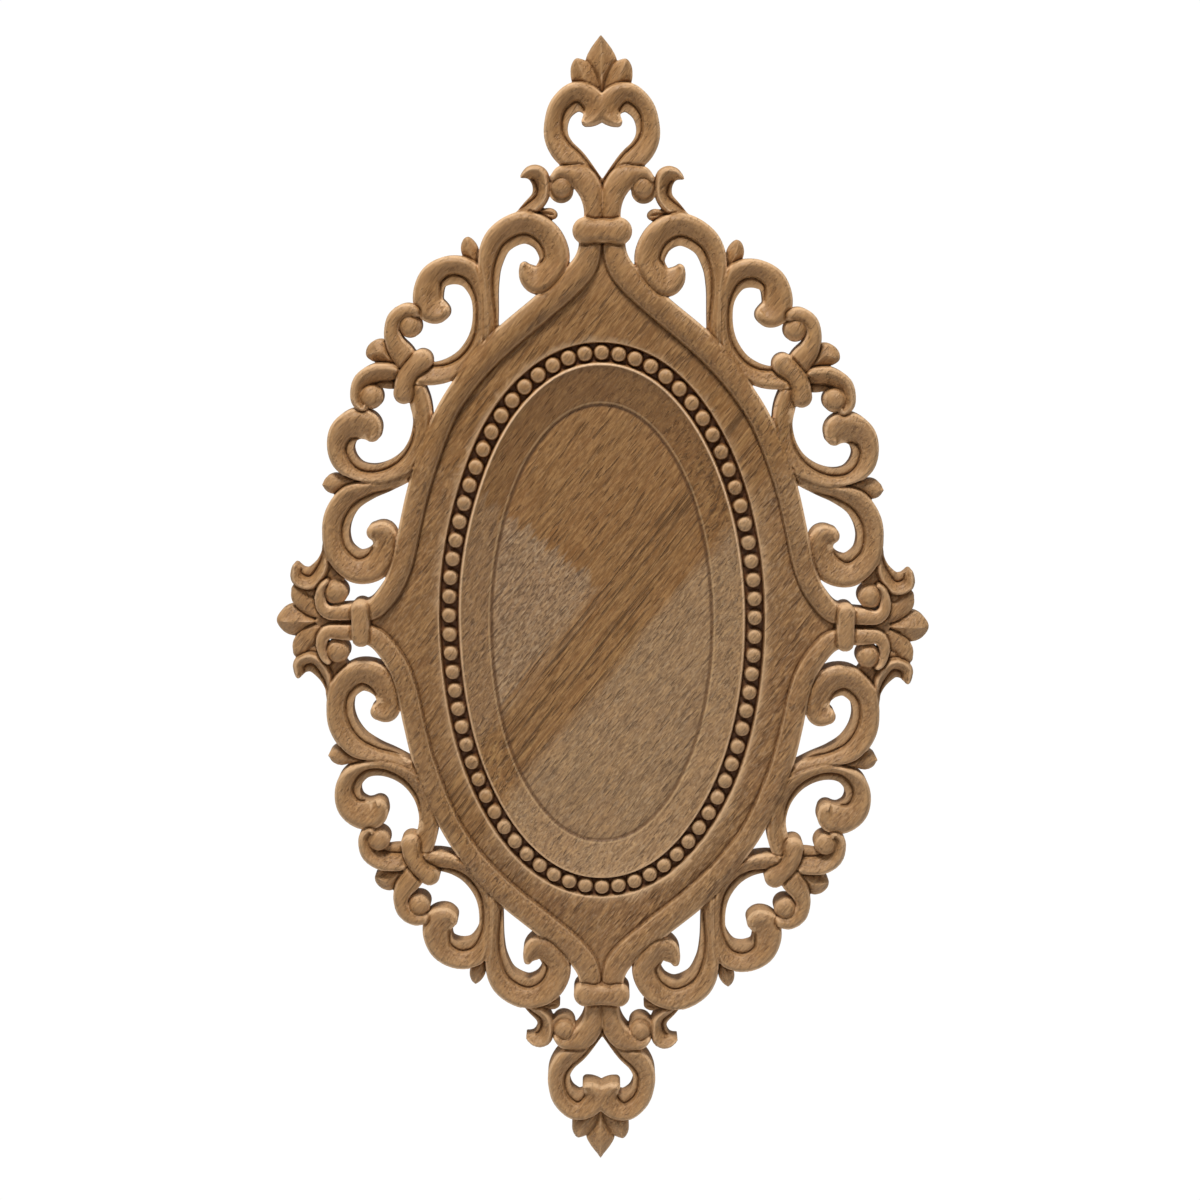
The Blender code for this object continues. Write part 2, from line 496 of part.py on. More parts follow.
def fit_face(points, borders, fixed_high, relief, x0, z0, pitch, budget, rounds=9):
    """Add points where the faceted face is furthest from the relief."""
    points = [tuple(p) for p in points]
    high = list(fixed_high)
    taken = np.zeros(relief.shape, bool)

    def block(x, z, r=1.6):
        i, j = (x - x0) / pitch, (z - z0) / pitch
        a, b = max(0, int(i - r / pitch) + 1), int(i + r / pitch) + 1
        c, d = max(0, int(j - r / pitch) + 1), int(j + r / pitch) + 1
        taken[c:d, a:b] = True

    for x, z in points:
        block(x, z)
    border_count = len(points)
    for x, z, h in turned_features():
        points.append((x, z))
        high.append(h)
        block(x, z, 3.2)
    for step in range(rounds):
        tris = triangulate(points, borders)
        left = budget - (len(points) - border_count)
        if left <= 0:
            break
        found = []
        for a, b, c in tris:
            (ax, az), (bx, bz), (cx, cz) = points[a], points[b], points[c]
            i0 = int(math.ceil((min(ax, bx, cx) - x0) / pitch)); i1 = int((max(ax, bx, cx) - x0) / pitch)
            j0 = int(math.ceil((min(az, bz, cz) - z0) / pitch)); j1 = int((max(az, bz, cz) - z0) / pitch)
            if i1 < i0 or j1 < j0:
                continue
            px = x0 + np.arange(i0, i1 + 1) * pitch
            pz = (z0 + np.arange(j0, j1 + 1) * pitch)[:, None]
            area = (bx - ax) * (cz - az) - (cx - ax) * (bz - az)
            wb = ((px - ax) * (cz - az) - (cx - ax) * (pz - az)) / area
            wc = ((bx - ax) * (pz - az) - (px - ax) * (bz - az)) / area
            wa = 1 - wb - wc
            ok = (wa > 0.02) & (wb > 0.02) & (wc > 0.02) & ~taken[j0:j1 + 1, i0:i1 + 1]
            if not ok.any():
                continue
            err = np.abs(wa * high[a] + wb * high[b] + wc * high[c] - relief[j0:j1 + 1, i0:i1 + 1]) * ok
            k = int(err.argmax())
            jj, ii = divmod(k, err.shape[1])
            found.append((float(err[jj, ii]) * min(area, 60.0) ** 0.35, i0 + ii, j0 + jj))
        found.sort(reverse=True)
        quota = left if step == rounds - 2 else max(40, int(left * 0.34))
        for score, i, j in found:
            if quota <= 0 or score < 0.06:
                break
            if taken[j, i]:
                continue
            x, z = x0 + i * pitch, z0 + j * pitch
            points.append((x, z))
            high.append(float(relief[j, i]))
            block(x, z)
            quota -= 1
    return points, high, triangulate(points, borders)


def settle(x, z):
    """The small unevenness of hand work: a slight shear and sideways drift."""
    x, z = np.asarray(x, float), np.asarray(z, float)
    return ACROSS * (x + 2.0 * (1 - (z / 560.0) ** 2)), z - 0.0094 * x


def build():
    sheet = carve(PITCH)
    out = blur(unfold(np.clip(sheet.out, -6, 6)), 0.8)
    out = np.where(np.abs(out) < 1e-4, 1e-4, out)
    solid = unfold((sheet.out < 0).astype(float))
    high = blur(unfold(sheet.height) * solid, 0.7) / np.maximum(blur(solid, 0.7), 1e-6)
    for _ in range(4):                        # carry the edge heights a little way out
        known = high > 1.0
        spread = blur(high * known, 1.0) / np.maximum(blur(known.astype(float), 1.0), 1e-6)
        high = np.where(known, high, np.where(blur(known.astype(float), 1.0) > 0.02, spread, 0))
    x0, z0 = -sheet.x[-1], -sheet.z[-1]

    loops = []
    for loop in outlines(out, x0, z0, PITCH):
        p = np.array(loop)
        area = 0.5 * abs(np.sum(p[:, 0] * np.roll(p[:, 1], -1) - np.roll(p[:, 0], -1) * p[:, 1]))
        if area > 25.0:                       # pin-prick gaps stay filled
            loops.append(thin(loop, OUTLINE_TOLERANCE))
    points, borders = [], []
    for loop in loops:
        n = len(points)
        points += [tuple(p) for p in loop]
        borders += [(n + k, n + (k + 1) % len(loop)) for k in range(len(loop))]
    rim_count = len(points)
    edge_high = sample(high, [p[0] for p in points], [p[1] for p in points], x0, z0, PITCH)
    back = triangulate(points, borders)
    points, tops, face = fit_face(points, borders, edge_high, high, x0, z0, PITCH, FACE_POINTS)

    wx, wz = settle([p[0] for p in points], [p[1] for p in points])
    verts = [(x * UNIT, -h / 1000.0, z * UNIT) for x, z, h in zip(wx, wz, tops)]
    base = len(verts)
    verts += [(wx[k] * UNIT, 0.0, wz[k] * UNIT) for k in range(rim_count)]
    faces = [f for f in face]
    faces += [(base + f[0], base + f[2], base + f[1]) for f in back]
    used = {}
    for f in face:
        for a, b in zip(f, f[1:] + f[:1]):
            used[(a, b)] = True
    for a, b in borders:
        if (a, b) not in used:
            a, b = b, a
        faces.append((b, a, base + a))
        faces.append((b, base + a, base + b))
    mesh = bpy.data.meshes.new("carved_applique")
    mesh.from_pydata(verts, [], faces)
    mesh.validate()
    mesh.update()
    return mesh, len(loops), rim_count


mesh, loop_count, outline_points = build()
applique = bpy.data.objects.new("carved_applique", mesh)
bpy.context.scene.collection.objects.link(applique)

wood = bpy.data.materials.new("carved_wood")
wood.use_nodes = True
surface = wood.node_tree.nodes["Principled BSDF"]
surface.inputs["Base Color"].default_value = (0.392, 0.216, 0.107, 1.0)
surface.inputs["Roughness"].default_value = 0.72
surface.inputs["Metallic"].default_value = 0.0
mesh.materials.append(wood)
mesh.shade_smooth()
mesh.set_sharp_from_angle(angle=math.radians(40))

print("triangles", sum(len(p.vertices) - 2 for p in mesh.polygons), "loops", loop_count,
      "outline points", outline_points)
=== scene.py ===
"""Looks of the carved wooden oval medallion applique: one finely carved piece
in place of the faceted solid, its wood, a pale floor, soft light and camera."""
import math
from types import SimpleNamespace
import bpy
import numpy as np
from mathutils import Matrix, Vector
from mathutils.geometry import delaunay_2d_cdt


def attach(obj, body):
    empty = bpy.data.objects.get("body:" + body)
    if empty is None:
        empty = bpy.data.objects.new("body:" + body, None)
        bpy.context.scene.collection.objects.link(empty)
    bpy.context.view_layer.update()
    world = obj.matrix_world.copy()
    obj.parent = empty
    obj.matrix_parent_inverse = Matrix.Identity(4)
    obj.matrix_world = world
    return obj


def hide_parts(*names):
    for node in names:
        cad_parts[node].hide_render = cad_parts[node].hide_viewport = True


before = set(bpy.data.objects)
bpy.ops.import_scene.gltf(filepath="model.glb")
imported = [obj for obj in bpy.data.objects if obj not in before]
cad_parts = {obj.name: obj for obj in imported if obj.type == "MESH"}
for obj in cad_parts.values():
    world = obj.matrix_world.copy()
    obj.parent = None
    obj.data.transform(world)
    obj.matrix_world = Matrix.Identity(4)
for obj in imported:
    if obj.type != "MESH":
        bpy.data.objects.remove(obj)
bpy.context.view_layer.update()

HEIGHT = 0.400
UNIT = HEIGHT / 1119.5         # metres in one drawing unit
PITCH = 1.0
FACE_TRIANGLES = 168000
ACROSS = 0.983                 # widths are drawn a little wide; this brings them true

# heights above the back, in millimetres
GROUND = 7.6                   # flat margin between the moulding and the beads
CHANNEL = 4.8                  # floor of the groove that the beads sit in
BEAD_TOP = 8.5
DISH_LIP = 7.7
DISH_FLOOR = 3.6
RIM_CROWN, RIM_EDGE, RIM_FOOT = 10.8, 9.4, 8.5
SCROLL_CROWN, SCROLL_EDGE, SCROLL_GROOVE = 9.9, 7.7, 7.5
BALL_FOOT, BALL_RISE = 7.0, 3.2
CLASP_CROWN, CLASP_EDGE = 11.2, 7.4
COLLAR_CROWN, COLLAR_EDGE = 12.8, 8.8
VEE_WIDE = 2.3                 # drawing units, width of the line cut beside a raised form

# plan, in drawing units
OVAL_POWER = 2.03              # a little fuller than an ellipse
BEAD_RING = (152.7, 266.9)     # half axes of the line through the beads
BEAD_COUNT = 74
BEAD_RADIUS = 8.1
CHANNEL_HALF = 9.9
DISH_EDGE = (142.2, 256.4)
DISH_LINE = (110.4, 218)     # fine incised oval where the slope meets the floor

# Each stroke is a run of gouge work: the centre line passes through these
# stations, given as x, z, half width and the width of the ledge that is cut
# along its hollow side.
STROKES = {
    # the moulding from the top collar round to the side collar
    "rim": [(11, 376, 10.5), (12.5, 360, 11.2), (17, 348, 12), (28, 334.5, 12.2), (58.5, 307.5, 12.2),
            (96, 276.5, 12.2), (117, 255.5, 11.5), (134, 234.5, 10.6), (154.5, 203, 10.3),
            (179.5, 141, 10.7), (190, 100, 10.6), (197.5, 65, 10.3), (204.5, 45, 10.2), (215, 28, 10),
            (226, 16, 9.8), (238, 10.5, 9.8)],
    # large scroll beside the collar
    "scroll_a": [(108.5, 278, 6.5, 0), (108, 300, 6.7, 3), (108.5, 330, 8, 6), (108.5, 350, 11.8, 7),
                 (99, 371, 14, 8.5), (75, 382.5, 15.3, 9.5), (55, 374, 15.3, 7.5), (46, 354, 14.6, 5),
                 (53, 339.5, 13, 1.5), (62.5, 332, 12.6, 0), (68.5, 335.5, 11.2, 0), (73.5, 341.5, 7, 0),
                 (75.5, 346, 4.2, 0)],
    # scroll that comes out of the clasp and rolls outward at its top
    "scroll_b": [(186, 243, 9.5, 2.5), (166, 242.5, 10.3, 3), (149, 247, 10.5, 5.5), (134, 258, 9.7, 6.5),
                 (122, 277, 8.8, 6), (118.5, 298, 7.7, 4.5), (120.5, 320, 8.5, 5), (130, 338.5, 13, 8),
                 (147, 342, 13.6, 9.3), (163.5, 334.5, 13.3, 5), (169.5, 318, 14.4, 2), (168, 307, 14, 0),
                 (162, 303.5, 12.5, 0), (157, 303, 9, 0)],
    # scroll that leaves the clasp downward
    "scroll_c": [(183, 232, 9, 0), (178.5, 216, 10.4, 0), (176.5, 200, 9.6, 1), (181, 178, 9.6, 3.5),
                 (193, 160, 9.7, 5), (210, 150, 8.6, 6), (228, 146.5, 8.3, 7), (243, 149.5, 9, 7.5),
                 (255, 159.5, 11.8, 8), (258.5, 173, 12.7, 7.5), (254, 187, 14.2, 5), (241, 195, 14.8, 0),
                 (231, 193, 13.3, 0), (227, 186.5, 8.7, 0)],
    # large scroll above the side collar
    "scroll_d": [(184, 152, 6, 0), (192, 147.5, 7, 0), (212, 138, 8.2, 2), (231, 131, 9.6, 5),
                 (250, 122, 12.9, 7), (262, 105, 13.5, 7.5), (265, 86, 13, 7.5), (260.5, 68, 14, 7.5),
                 (244, 55, 15.3, 7.5), (225.5, 59, 15.5, 4), (216, 75, 12.3, 0), (217.5, 87.5, 12.2, 0),
                 (226, 90, 8, 0)],
    # curled leaf between the top volute and the large scroll, and the bud below it
    "top_hook": [(82, 393, 3, 0), (70, 400, 7.5, 3), (59.8, 411, 8.2, 5), (58.4, 422, 8.6, 4.5),
                 (61.5, 431, 9.2, 3), (68, 433.5, 6.6, 0), (74.5, 431.5, 3, 0), (77.5, 429.5, 1, 0)],
    "top_bud": [(66, 396, 1.5), (58, 396, 3.8), (50, 395, 5.6), (47.5, 394.5, 4.5)],
    # curled leaf above the side finial, and the web behind it
    "side_hook": [(277, 78, 1.5, 0), (277, 65, 4.6, 2.5), (281.5, 52.5, 8, 5), (292, 42, 10.2, 8),
                  (301.5, 43.5, 9.3, 6), (305, 50, 5.6, 0), (306, 54.5, 3, 0)],
    "side_web": [(272, 58, 3), (263, 46, 6.5), (274, 47, 6.5), (283, 39, 6), (290, 31, 6)],
    # buds in the forks of the scrolls
    "upper_bud": [(123, 347, 2), (126, 354, 6.5), (128.5, 361, 8.2), (130, 367.5, 5.5), (130.5, 372.5, 1.2)],
    "lower_bud": [(244, 140, 4.5), (252, 138.5, 5.5), (259, 137, 7), (266, 135.5, 9.6), (271, 135, 6), (274.5, 135, 2.4),
                  (277, 135, 0.8)],
    # the tied knot of two volutes and a leaf
    "upper_volute": [(188, 250, 9.5), (194, 260, 11.5), (202, 271, 9.5), (205.5, 283, 7.3), (202, 296, 7),
                     (192, 303, 6.8), (182, 303, 5.5)],
    "lower_volute": [(196, 240, 11, 7), (208, 240.5, 12.5, 8), (222, 241, 11.5, 5), (235, 235, 9.5, 2),
                     (240, 225, 7.5, 0), (240, 217, 6.5, 0), (236, 212, 5.5, 0)],
    "knot_leaf": [(200, 252, 2), (208, 257.5, 7), (217, 264, 11.3), (222, 263.5, 9.5), (226, 262, 6)],
    "clasp": [(176, 256, 10.6), (187.5, 245.5, 9.6), (193.5, 234, 9.8), (194.5, 224.5, 10.2)],
    # top finial: open heart, volutes, collar and leaves
    "heart": [(8.5, 421, 11, 2.5), (26, 443.5, 12, 3.5), (38, 455.5, 12, 4), (43.5, 467, 11.6, 5), (43.5, 480, 11.2, 6),
              (38, 494, 12, 8), (24, 504, 13.3, 9), (11, 500, 13, 3), (6, 492, 12, 0), (10, 485, 8, 0),
              (15, 481, 4.5, 0)],
    "top_volute": [(8.5, 386, 9), (8.5, 402, 9.5), (11, 416, 11.5), (19, 428, 12), (30, 433, 8.5),
                   (40, 434, 5.5), (47, 429, 3)],
    "top_collar": [(0, 380, 11), (10, 380, 11.3), (16, 380, 12.6)],
    "top_leaf": [(0, 510, 2), (0, 522, 8), (0, 533, 15.2), (0, 540, 12.8), (0, 547, 8.8), (0, 553, 5), (0, 557.6, 2),
                 (0, 560, 0.5)],
    "top_side_leaf": [(9, 509, 8), (16, 519, 12), (19, 527, 10.6), (21.2, 531.5, 7.4), (22.6, 535.5, 3.8),
                      (23.4, 538.4, 0.8)],
    # side finial: volute, leaves and collar
    "side_volute": [(244, 10.5, 8.5), (256, 10, 8.2), (264, 9.5, 8), (273, 9.5, 7), (280, 15, 6.2),
                    (282, 26, 5), (279, 37, 3.5), (275, 41, 2.5)],
    "side_seam": [(244, 0, 4.5), (268, 0, 4.5), (284, 0, 4)],
    "side_leaf": [(284, 6, 4), (293, 15, 9), (301, 23, 9.8), (304, 31, 7)],
    "side_tip": [(288, 0, 3), (300, 0, 9.5), (308, 0, 15.5), (313.5, 0, 12.6), (318, 0, 8.8), (322, 0, 4.8), (325, 0, 1.6),
                 (326.3, 0, 0.5)],
    "side_collar": [(241.5, 0, 9.4), (241.5, 14, 9.6)],
}
# eyes of the volutes: x, z, radius
EYES = {"top": (39, 420.5, 10.4), "upper": (187.5, 288.8, 10.4), "lower": (227.5, 221, 10.8), "side": (266, 30, 10.8)}


def spline(stations, step=0.5):
    """Smooth run through the stations, all columns together."""
    p = np.array([tuple(s) + (0.0,) * (4 - len(s)) for s in stations], float)
    if len(p) == 2:
        count = max(2, int(np.hypot(*(p[1, :2] - p[0, :2])) / step))
        return p[0] + (p[1] - p[0]) * np.linspace(0, 1, count)[:, None]
    q = np.vstack([2 * p[0] - p[1], p, 2 * p[-1] - p[-2]])
    runs = []
    for i in range(len(p) - 1):
        p0, p1, p2, p3 = q[i:i + 4]
        t1 = max(np.hypot(*(p1[:2] - p0[:2])), 1e-6) ** 0.5
        t2 = t1 + max(np.hypot(*(p2[:2] - p1[:2])), 1e-6) ** 0.5
        t3 = t2 + max(np.hypot(*(p3[:2] - p2[:2])), 1e-6) ** 0.5
        count = max(2, int(np.hypot(*(p2[:2] - p1[:2])) / step))
        t = np.linspace(t1, t2, count, endpoint=(i == len(p) - 2))[:, None]
        a1 = (t1 - t) / t1 * p0 + t / t1 * p1
        a2 = (t2 - t) / (t2 - t1) * p1 + (t - t1) / (t2 - t1) * p2
        a3 = (t3 - t) / (t3 - t2) * p2 + (t - t2) / (t3 - t2) * p3
        b1 = (t2 - t) / t2 * a1 + t / t2 * a2
        b2 = (t3 - t) / (t3 - t1) * a2 + (t - t1) / (t3 - t1) * a3
        runs.append((t2 - t) / (t2 - t1) * b1 + (t - t1) / (t2 - t1) * b2)
    run = np.vstack(runs)
    run[:, 2] = np.maximum(run[:, 2], 0.2)
    run[:, 3] = np.maximum(run[:, 3], 0.0)
    return run


class Sheet:
    """Sampled quarter of the panel: height of the carved face and the outline."""

    def __init__(self, pitch, vee, wide=334.0, high=568.0):
        self.pitch, self.vee = pitch, vee
        self.x = np.arange(int(round(wide / pitch)) + 1) * pitch
        self.z = np.arange(int(round(high / pitch)) + 1) * pitch
        self.X, self.Z = np.meshgrid(self.x, self.z)
        self.height = np.zeros_like(self.X)
        self.out = np.full_like(self.X, 1e3)      # distance outside the wood

    def window(self, x0, x1, z0, z1):
        a = max(0, int(math.floor(x0 / self.pitch)))
        b = max(a, min(len(self.x), int(math.ceil(x1 / self.pitch)) + 1))
        c = max(0, int(math.floor(z0 / self.pitch)))
        d = max(c, min(len(self.z), int(math.ceil(z1 / self.pitch)) + 1))
        return slice(c, d), slice(a, b)

    def sweep(self, run, margin=6.0):
        """Distance to a disc swept along the run, and the nearest station."""
        dist = np.full(self.X.shape, 1e3)
        near = np.zeros(self.X.shape, int)
        for first in range(0, len(run), 16):
            part = run[first:first + 16]
            m = part[:, 2].max() + margin
            win = self.window(part[:, 0].min() - m, part[:, 0].max() + m,
                              part[:, 1].min() - m, part[:, 1].max() + m)
            x, z = self.X[win], self.Z[win]
            if x.size == 0:
                continue
            d = np.sqrt((x[..., None] - part[:, 0]) ** 2 + (z[..., None] - part[:, 1]) ** 2) - part[:, 2]
            best = d.argmin(-1)
            low = np.take_along_axis(d, best[..., None], -1)[..., 0]
            better = low < dist[win]
            dist[win] = np.where(better, low, dist[win])
            near[win] = np.where(better, best + first, near[win])
        return dist, near

    def lay(self, piece, blend=False, cut=1.0):
        """Put a piece on top of what is there, or run it into what is there."""
        dist, high = piece
        beside = (dist >= 0) & (dist < VEE_WIDE) & (self.out < 0)
        self.height = np.where(beside, self.height - cut * self.vee * (1 - dist / VEE_WIDE), self.height)
        self.height = np.where(dist < 0, np.maximum(self.height, high) if blend else high, self.height)
        self.out = np.minimum(self.out, dist)


def ease(t):
    t = np.clip(t, 0, 1)
    return t * t * (3 - 2 * t)


def mirrored(stations, sx, sz):
    return [(s[0] * sx, s[1] * sz) + tuple(s[2:]) for s in stations]


def band(sheet, name, side, crown, edge, groove, copies=(), crest=-0.38, scoop=1.1, bulge=0.25, lift=-0.6, drop=0.35):
    """Band whose rounded crest lies toward its outer side and wraps round its
    end, scooped out behind the crest, with a ledge cut along its hollow side;
    side tells on which hand that ledge lies."""
    result = None
    for sx, sz in ((1, 1),) + tuple(copies):
        run = spline(mirrored(STROKES[name], sx, sz))
        dist, near = sheet.sweep(run)
        along = np.gradient(run[:, :2], axis=0)
        along /= np.maximum(np.hypot(along[:, 0], along[:, 1])[:, None], 1e-9)
        at, way = run[near], along[near]
        dx, dz = sheet.X - at[..., 0], sheet.Z - at[..., 1]
        left = np.where(way[..., 0] * dz - way[..., 1] * dx >= 0, 1, -1)
        ahead = (near == len(run) - 1) & (way[..., 0] * dx + way[..., 1] * dz > 0)
        across = np.hypot(dx, dz) * np.where(ahead, -1, left * side * sx * sz)
        half, ledge = at[..., 2], at[..., 3]
        t = (across + ledge / 2) / (half - ledge / 2)
        outer = np.clip((crest - t) / (1 + crest), 0, 1)
        inward = np.clip((t - crest) / (1 - crest), 0, 1)
        high = np.where(t < crest, edge + (crown - edge) * (1 - outer ** 1.8) ** 0.8,
                        groove + (crown - groove) * (1 - inward) ** scoop * (1 + bulge * inward))
        past = across - (half - ledge)
        shelf = groove + lift - drop * np.clip(past / np.maximum(ledge, 1e-3), 0, 1) ** 1.5
        high = np.where((ledge > 1.0) & (past > 0), shelf, high)
        line = 1 - np.clip(np.abs(past) / (0.85 * VEE_WIDE), 0, 1)
        high = np.where(ledge > 1.0, high - 1.7 * sheet.vee * line * np.clip(ledge - 1.0, 0, 1), high)
        high = np.where(dist < 1.5, high, -99.0)
        result = (dist, high) if result is None else (np.minimum(result[0], dist), np.maximum(result[1], high))
    return result


def strap(sheet, name, crown, edge, copies=(), shape=(2.2, 0.55), cut=None):
    """Evenly rounded strap, keeled leaf or fluted bud."""
    result = None
    for sx, sz in ((1, 1),) + tuple(copies):
        run = spline(mirrored(STROKES[name], sx, sz))
        dist, near = sheet.sweep(run)
        at = run[near]
        u = np.clip(np.hypot(sheet.X - at[..., 0], sheet.Z - at[..., 1]) / at[..., 2], 0, 1)
        if cut == "keel":
            rise = (1 - u) ** 0.8
        else:
            rise = (1 - u ** shape[0]) ** shape[1]
        if cut == "flute":
            rise = rise * (0.45 + 0.55 * ease(u / 0.45))
        high = np.where(dist < 1.5, edge + (crown - edge) * rise, -99.0)
        result = (dist, high) if result is None else (np.minimum(result[0], dist), np.maximum(result[1], high))
    return result


def oval(sheet, half_axes):
    """Signed distance to an oval, negative inside."""
    a, b = half_axes
    n = OVAL_POWER
    x, z = np.maximum(sheet.X, 1e-6) / a, np.maximum(sheet.Z, 1e-6) / b
    s = x ** n + z ** n
    f = s ** (1 / n)
    slope = np.hypot(f / s * x ** (n - 1) / a, f / s * z ** (n - 1) / b)
    return (f - 1) / np.maximum(slope, 1e-9)


def bead_centres():
    t = np.linspace(0, 2 * math.pi, 8001)
    c, s = np.cos(t), np.sin(t)
    x = BEAD_RING[0] * np.sign(c) * np.abs(c) ** (2 / OVAL_POWER)
    z = BEAD_RING[1] * np.sign(s) * np.abs(s) ** (2 / OVAL_POWER)
    # they stand a little closer together round the two ends
    closer = 1 + 0.13 * (z[1:] / BEAD_RING[1]) ** 6
    run = np.concatenate([[0], np.cumsum(np.hypot(np.diff(x), np.diff(z)) * closer)])
    at = (np.arange(BEAD_COUNT) + 0.5) / BEAD_COUNT * run[-1]
    return list(zip(np.interp(at, run, x), np.interp(at, run, z)))


def carve(pitch, vee=0.0):
    """The quarter's relief, from the ground up to the collars; vee is how deep
    the fine lines between the forms are cut, in millimetres."""
    sheet = Sheet(pitch, vee)
    over_x, over_z = ((-1, 1),), ((1, -1),)
    rim = spline(STROKES["rim"])
    inside = (sheet.Z < np.interp(sheet.X, rim[:, 0], rim[:, 1], left=400, right=-5)) & (sheet.X < 238)
    sheet.out = np.where(inside, -5.0, sheet.out)
    sheet.height = np.where(inside, GROUND, 0.0)
    ring = np.abs(oval(sheet, BEAD_RING))
    sheet.height = np.where(inside & (ring < CHANNEL_HALF),
                            CHANNEL + (GROUND - CHANNEL) * ease((ring - CHANNEL_HALF + 1.6) / 1.6), sheet.height)
    lip, line = oval(sheet, DISH_EDGE), oval(sheet, DISH_LINE)
    down = np.clip(-lip / np.maximum(np.maximum(line, 0) - lip, 1e-6), 0, 1)
    hollow = DISH_LIP - (DISH_LIP - DISH_FLOOR - 0.25) * down ** 0.85
    hollow = hollow + 0.3 * (1 - np.clip(np.abs(lip + 1.6) / 1.8, 0, 1) ** 2)
    sheet.height = np.where(inside & (lip < 0), hollow, sheet.height)
    sheet.height = np.where(inside & (line < 0), DISH_FLOOR, sheet.height)
    sheet.height = np.where(inside & (np.abs(line) < 1.2), sheet.height - 0.35 * (1 - np.abs(line) / 1.2), sheet.height)
    for x, z in bead_centres():
        if x > -9 and z > -9:
            win = sheet.window(x - 9, x + 9, z - 9, z + 9)
            u = np.hypot(sheet.X[win] - x, sheet.Z[win] - z) / BEAD_RADIUS
            dome = CHANNEL + (BEAD_TOP - CHANNEL) * np.sqrt(np.clip(1 - u ** 3, 0, 1))
            sheet.height[win] = np.where(u < 1, np.maximum(sheet.height[win], dome), sheet.height[win])
    sheet.lay(strap(sheet, "top_leaf", 7.6, 4.6, over_x, cut="keel"))
    sheet.lay(strap(sheet, "top_side_leaf", 7.6, 4.8, over_x, cut="keel"))
    sheet.lay(strap(sheet, "side_tip", 7.6, 4.2, over_z, cut="keel"))
    sheet.lay(strap(sheet, "side_leaf", 7.0, 5.2, over_z))
    sheet.lay(strap(sheet, "side_web", 6.0, 5.2))
    sheet.lay(strap(sheet, "upper_bud", 7.2, 4.8, cut="keel"))
    sheet.lay(strap(sheet, "lower_bud", 7.4, 4.8, shape=(2.0, 0.6)))
    sheet.lay(strap(sheet, "top_bud", 7.0, 4.8, cut="flute"))
    sheet.lay(band(sheet, "top_hook", -1, 8.6, 5.4, 5.6))
    sheet.lay(band(sheet, "side_hook", 1, 8.6, 5.4, 5.6))
    sheet.lay(band(sheet, "heart", 1, 9.6, 7.6, 7.4, over_x))
    sheet.lay(strap(sheet, "knot_leaf", 7.8, 5.0, cut="keel"))
    for name, side in (("scroll_d", -1), ("scroll_c", 1), ("scroll_b", -1), ("scroll_a", 1)):
        sheet.lay(band(sheet, name, side, SCROLL_CROWN, SCROLL_EDGE, SCROLL_GROOVE), blend=True)
    sheet.lay(band(sheet, "rim", -1, RIM_CROWN, RIM_EDGE, RIM_FOOT, over_x + over_z, crest=-0.3,
                   scoop=0.7, bulge=1.1), blend=True, cut=0.6)
    # the curl of the topmost scroll laps over the edge of the moulding
    curl, high = band(sheet, "scroll_a", 1, SCROLL_CROWN, SCROLL_EDGE, SCROLL_GROOVE)
    lap = (sheet.X < 72) & (sheet.Z > 318)
    sheet.lay((np.where(lap, curl + 0.8, 99.0), high + 0.9 * ease((66 - sheet.X) / 14)))
    sheet.lay(band(sheet, "lower_volute", -1, 9.8, 7.4, 6.2))
    sheet.lay(strap(sheet, "upper_volute", 10.0, 7.2))
    sheet.lay(strap(sheet, "top_volute", 10.2, 7.2, over_x))
    sheet.lay(strap(sheet, "side_seam", 6.4, 6.2))
    sheet.lay(strap(sheet, "side_volute", 10.0, 7.2, over_z))
    sheet.lay((np.hypot(sheet.X - 39.5, sheet.Z - 417) - 11.8, np.full(sheet.X.shape, BALL_FOOT)), blend=True, cut=0)
    for x, z, radius in EYES.values():
        far = np.hypot(sheet.X - x, sheet.Z - z)
        sheet.lay((far - radius - 1.2, np.full(far.shape, BALL_FOOT)), blend=True, cut=0)
        sheet.lay((far - radius, BALL_FOOT + BALL_RISE * (1 - np.clip(far / radius, 0, 1) ** 2.6) ** 0.6),
                  blend=True, cut=0.35)
    sheet.lay(strap(sheet, "clasp", CLASP_CROWN, CLASP_EDGE))
    sheet.lay(strap(sheet, "side_collar", COLLAR_CROWN, COLLAR_EDGE, over_z, shape=(3.0, 0.5)))
    sheet.lay(strap(sheet, "top_collar", COLLAR_CROWN, COLLAR_EDGE, over_x, shape=(3.0, 0.5)))
    return sheet


def blur(a, sigma):
    r = int(math.ceil(3 * sigma))
    k = np.exp(-0.5 * (np.arange(-r, r + 1) / sigma) ** 2)
    k /= k.sum()
    for axis in (0, 1):
        pad = [(r, r) if i == axis else (0, 0) for i in (0, 1)]
        # the panel mirrors across both of its axes, so the low edges reflect
        b = np.pad(a, pad, mode="reflect")
        a = sum(w * np.take(b, np.arange(i, i + a.shape[axis]), axis=axis) for i, w in enumerate(k))
    return a


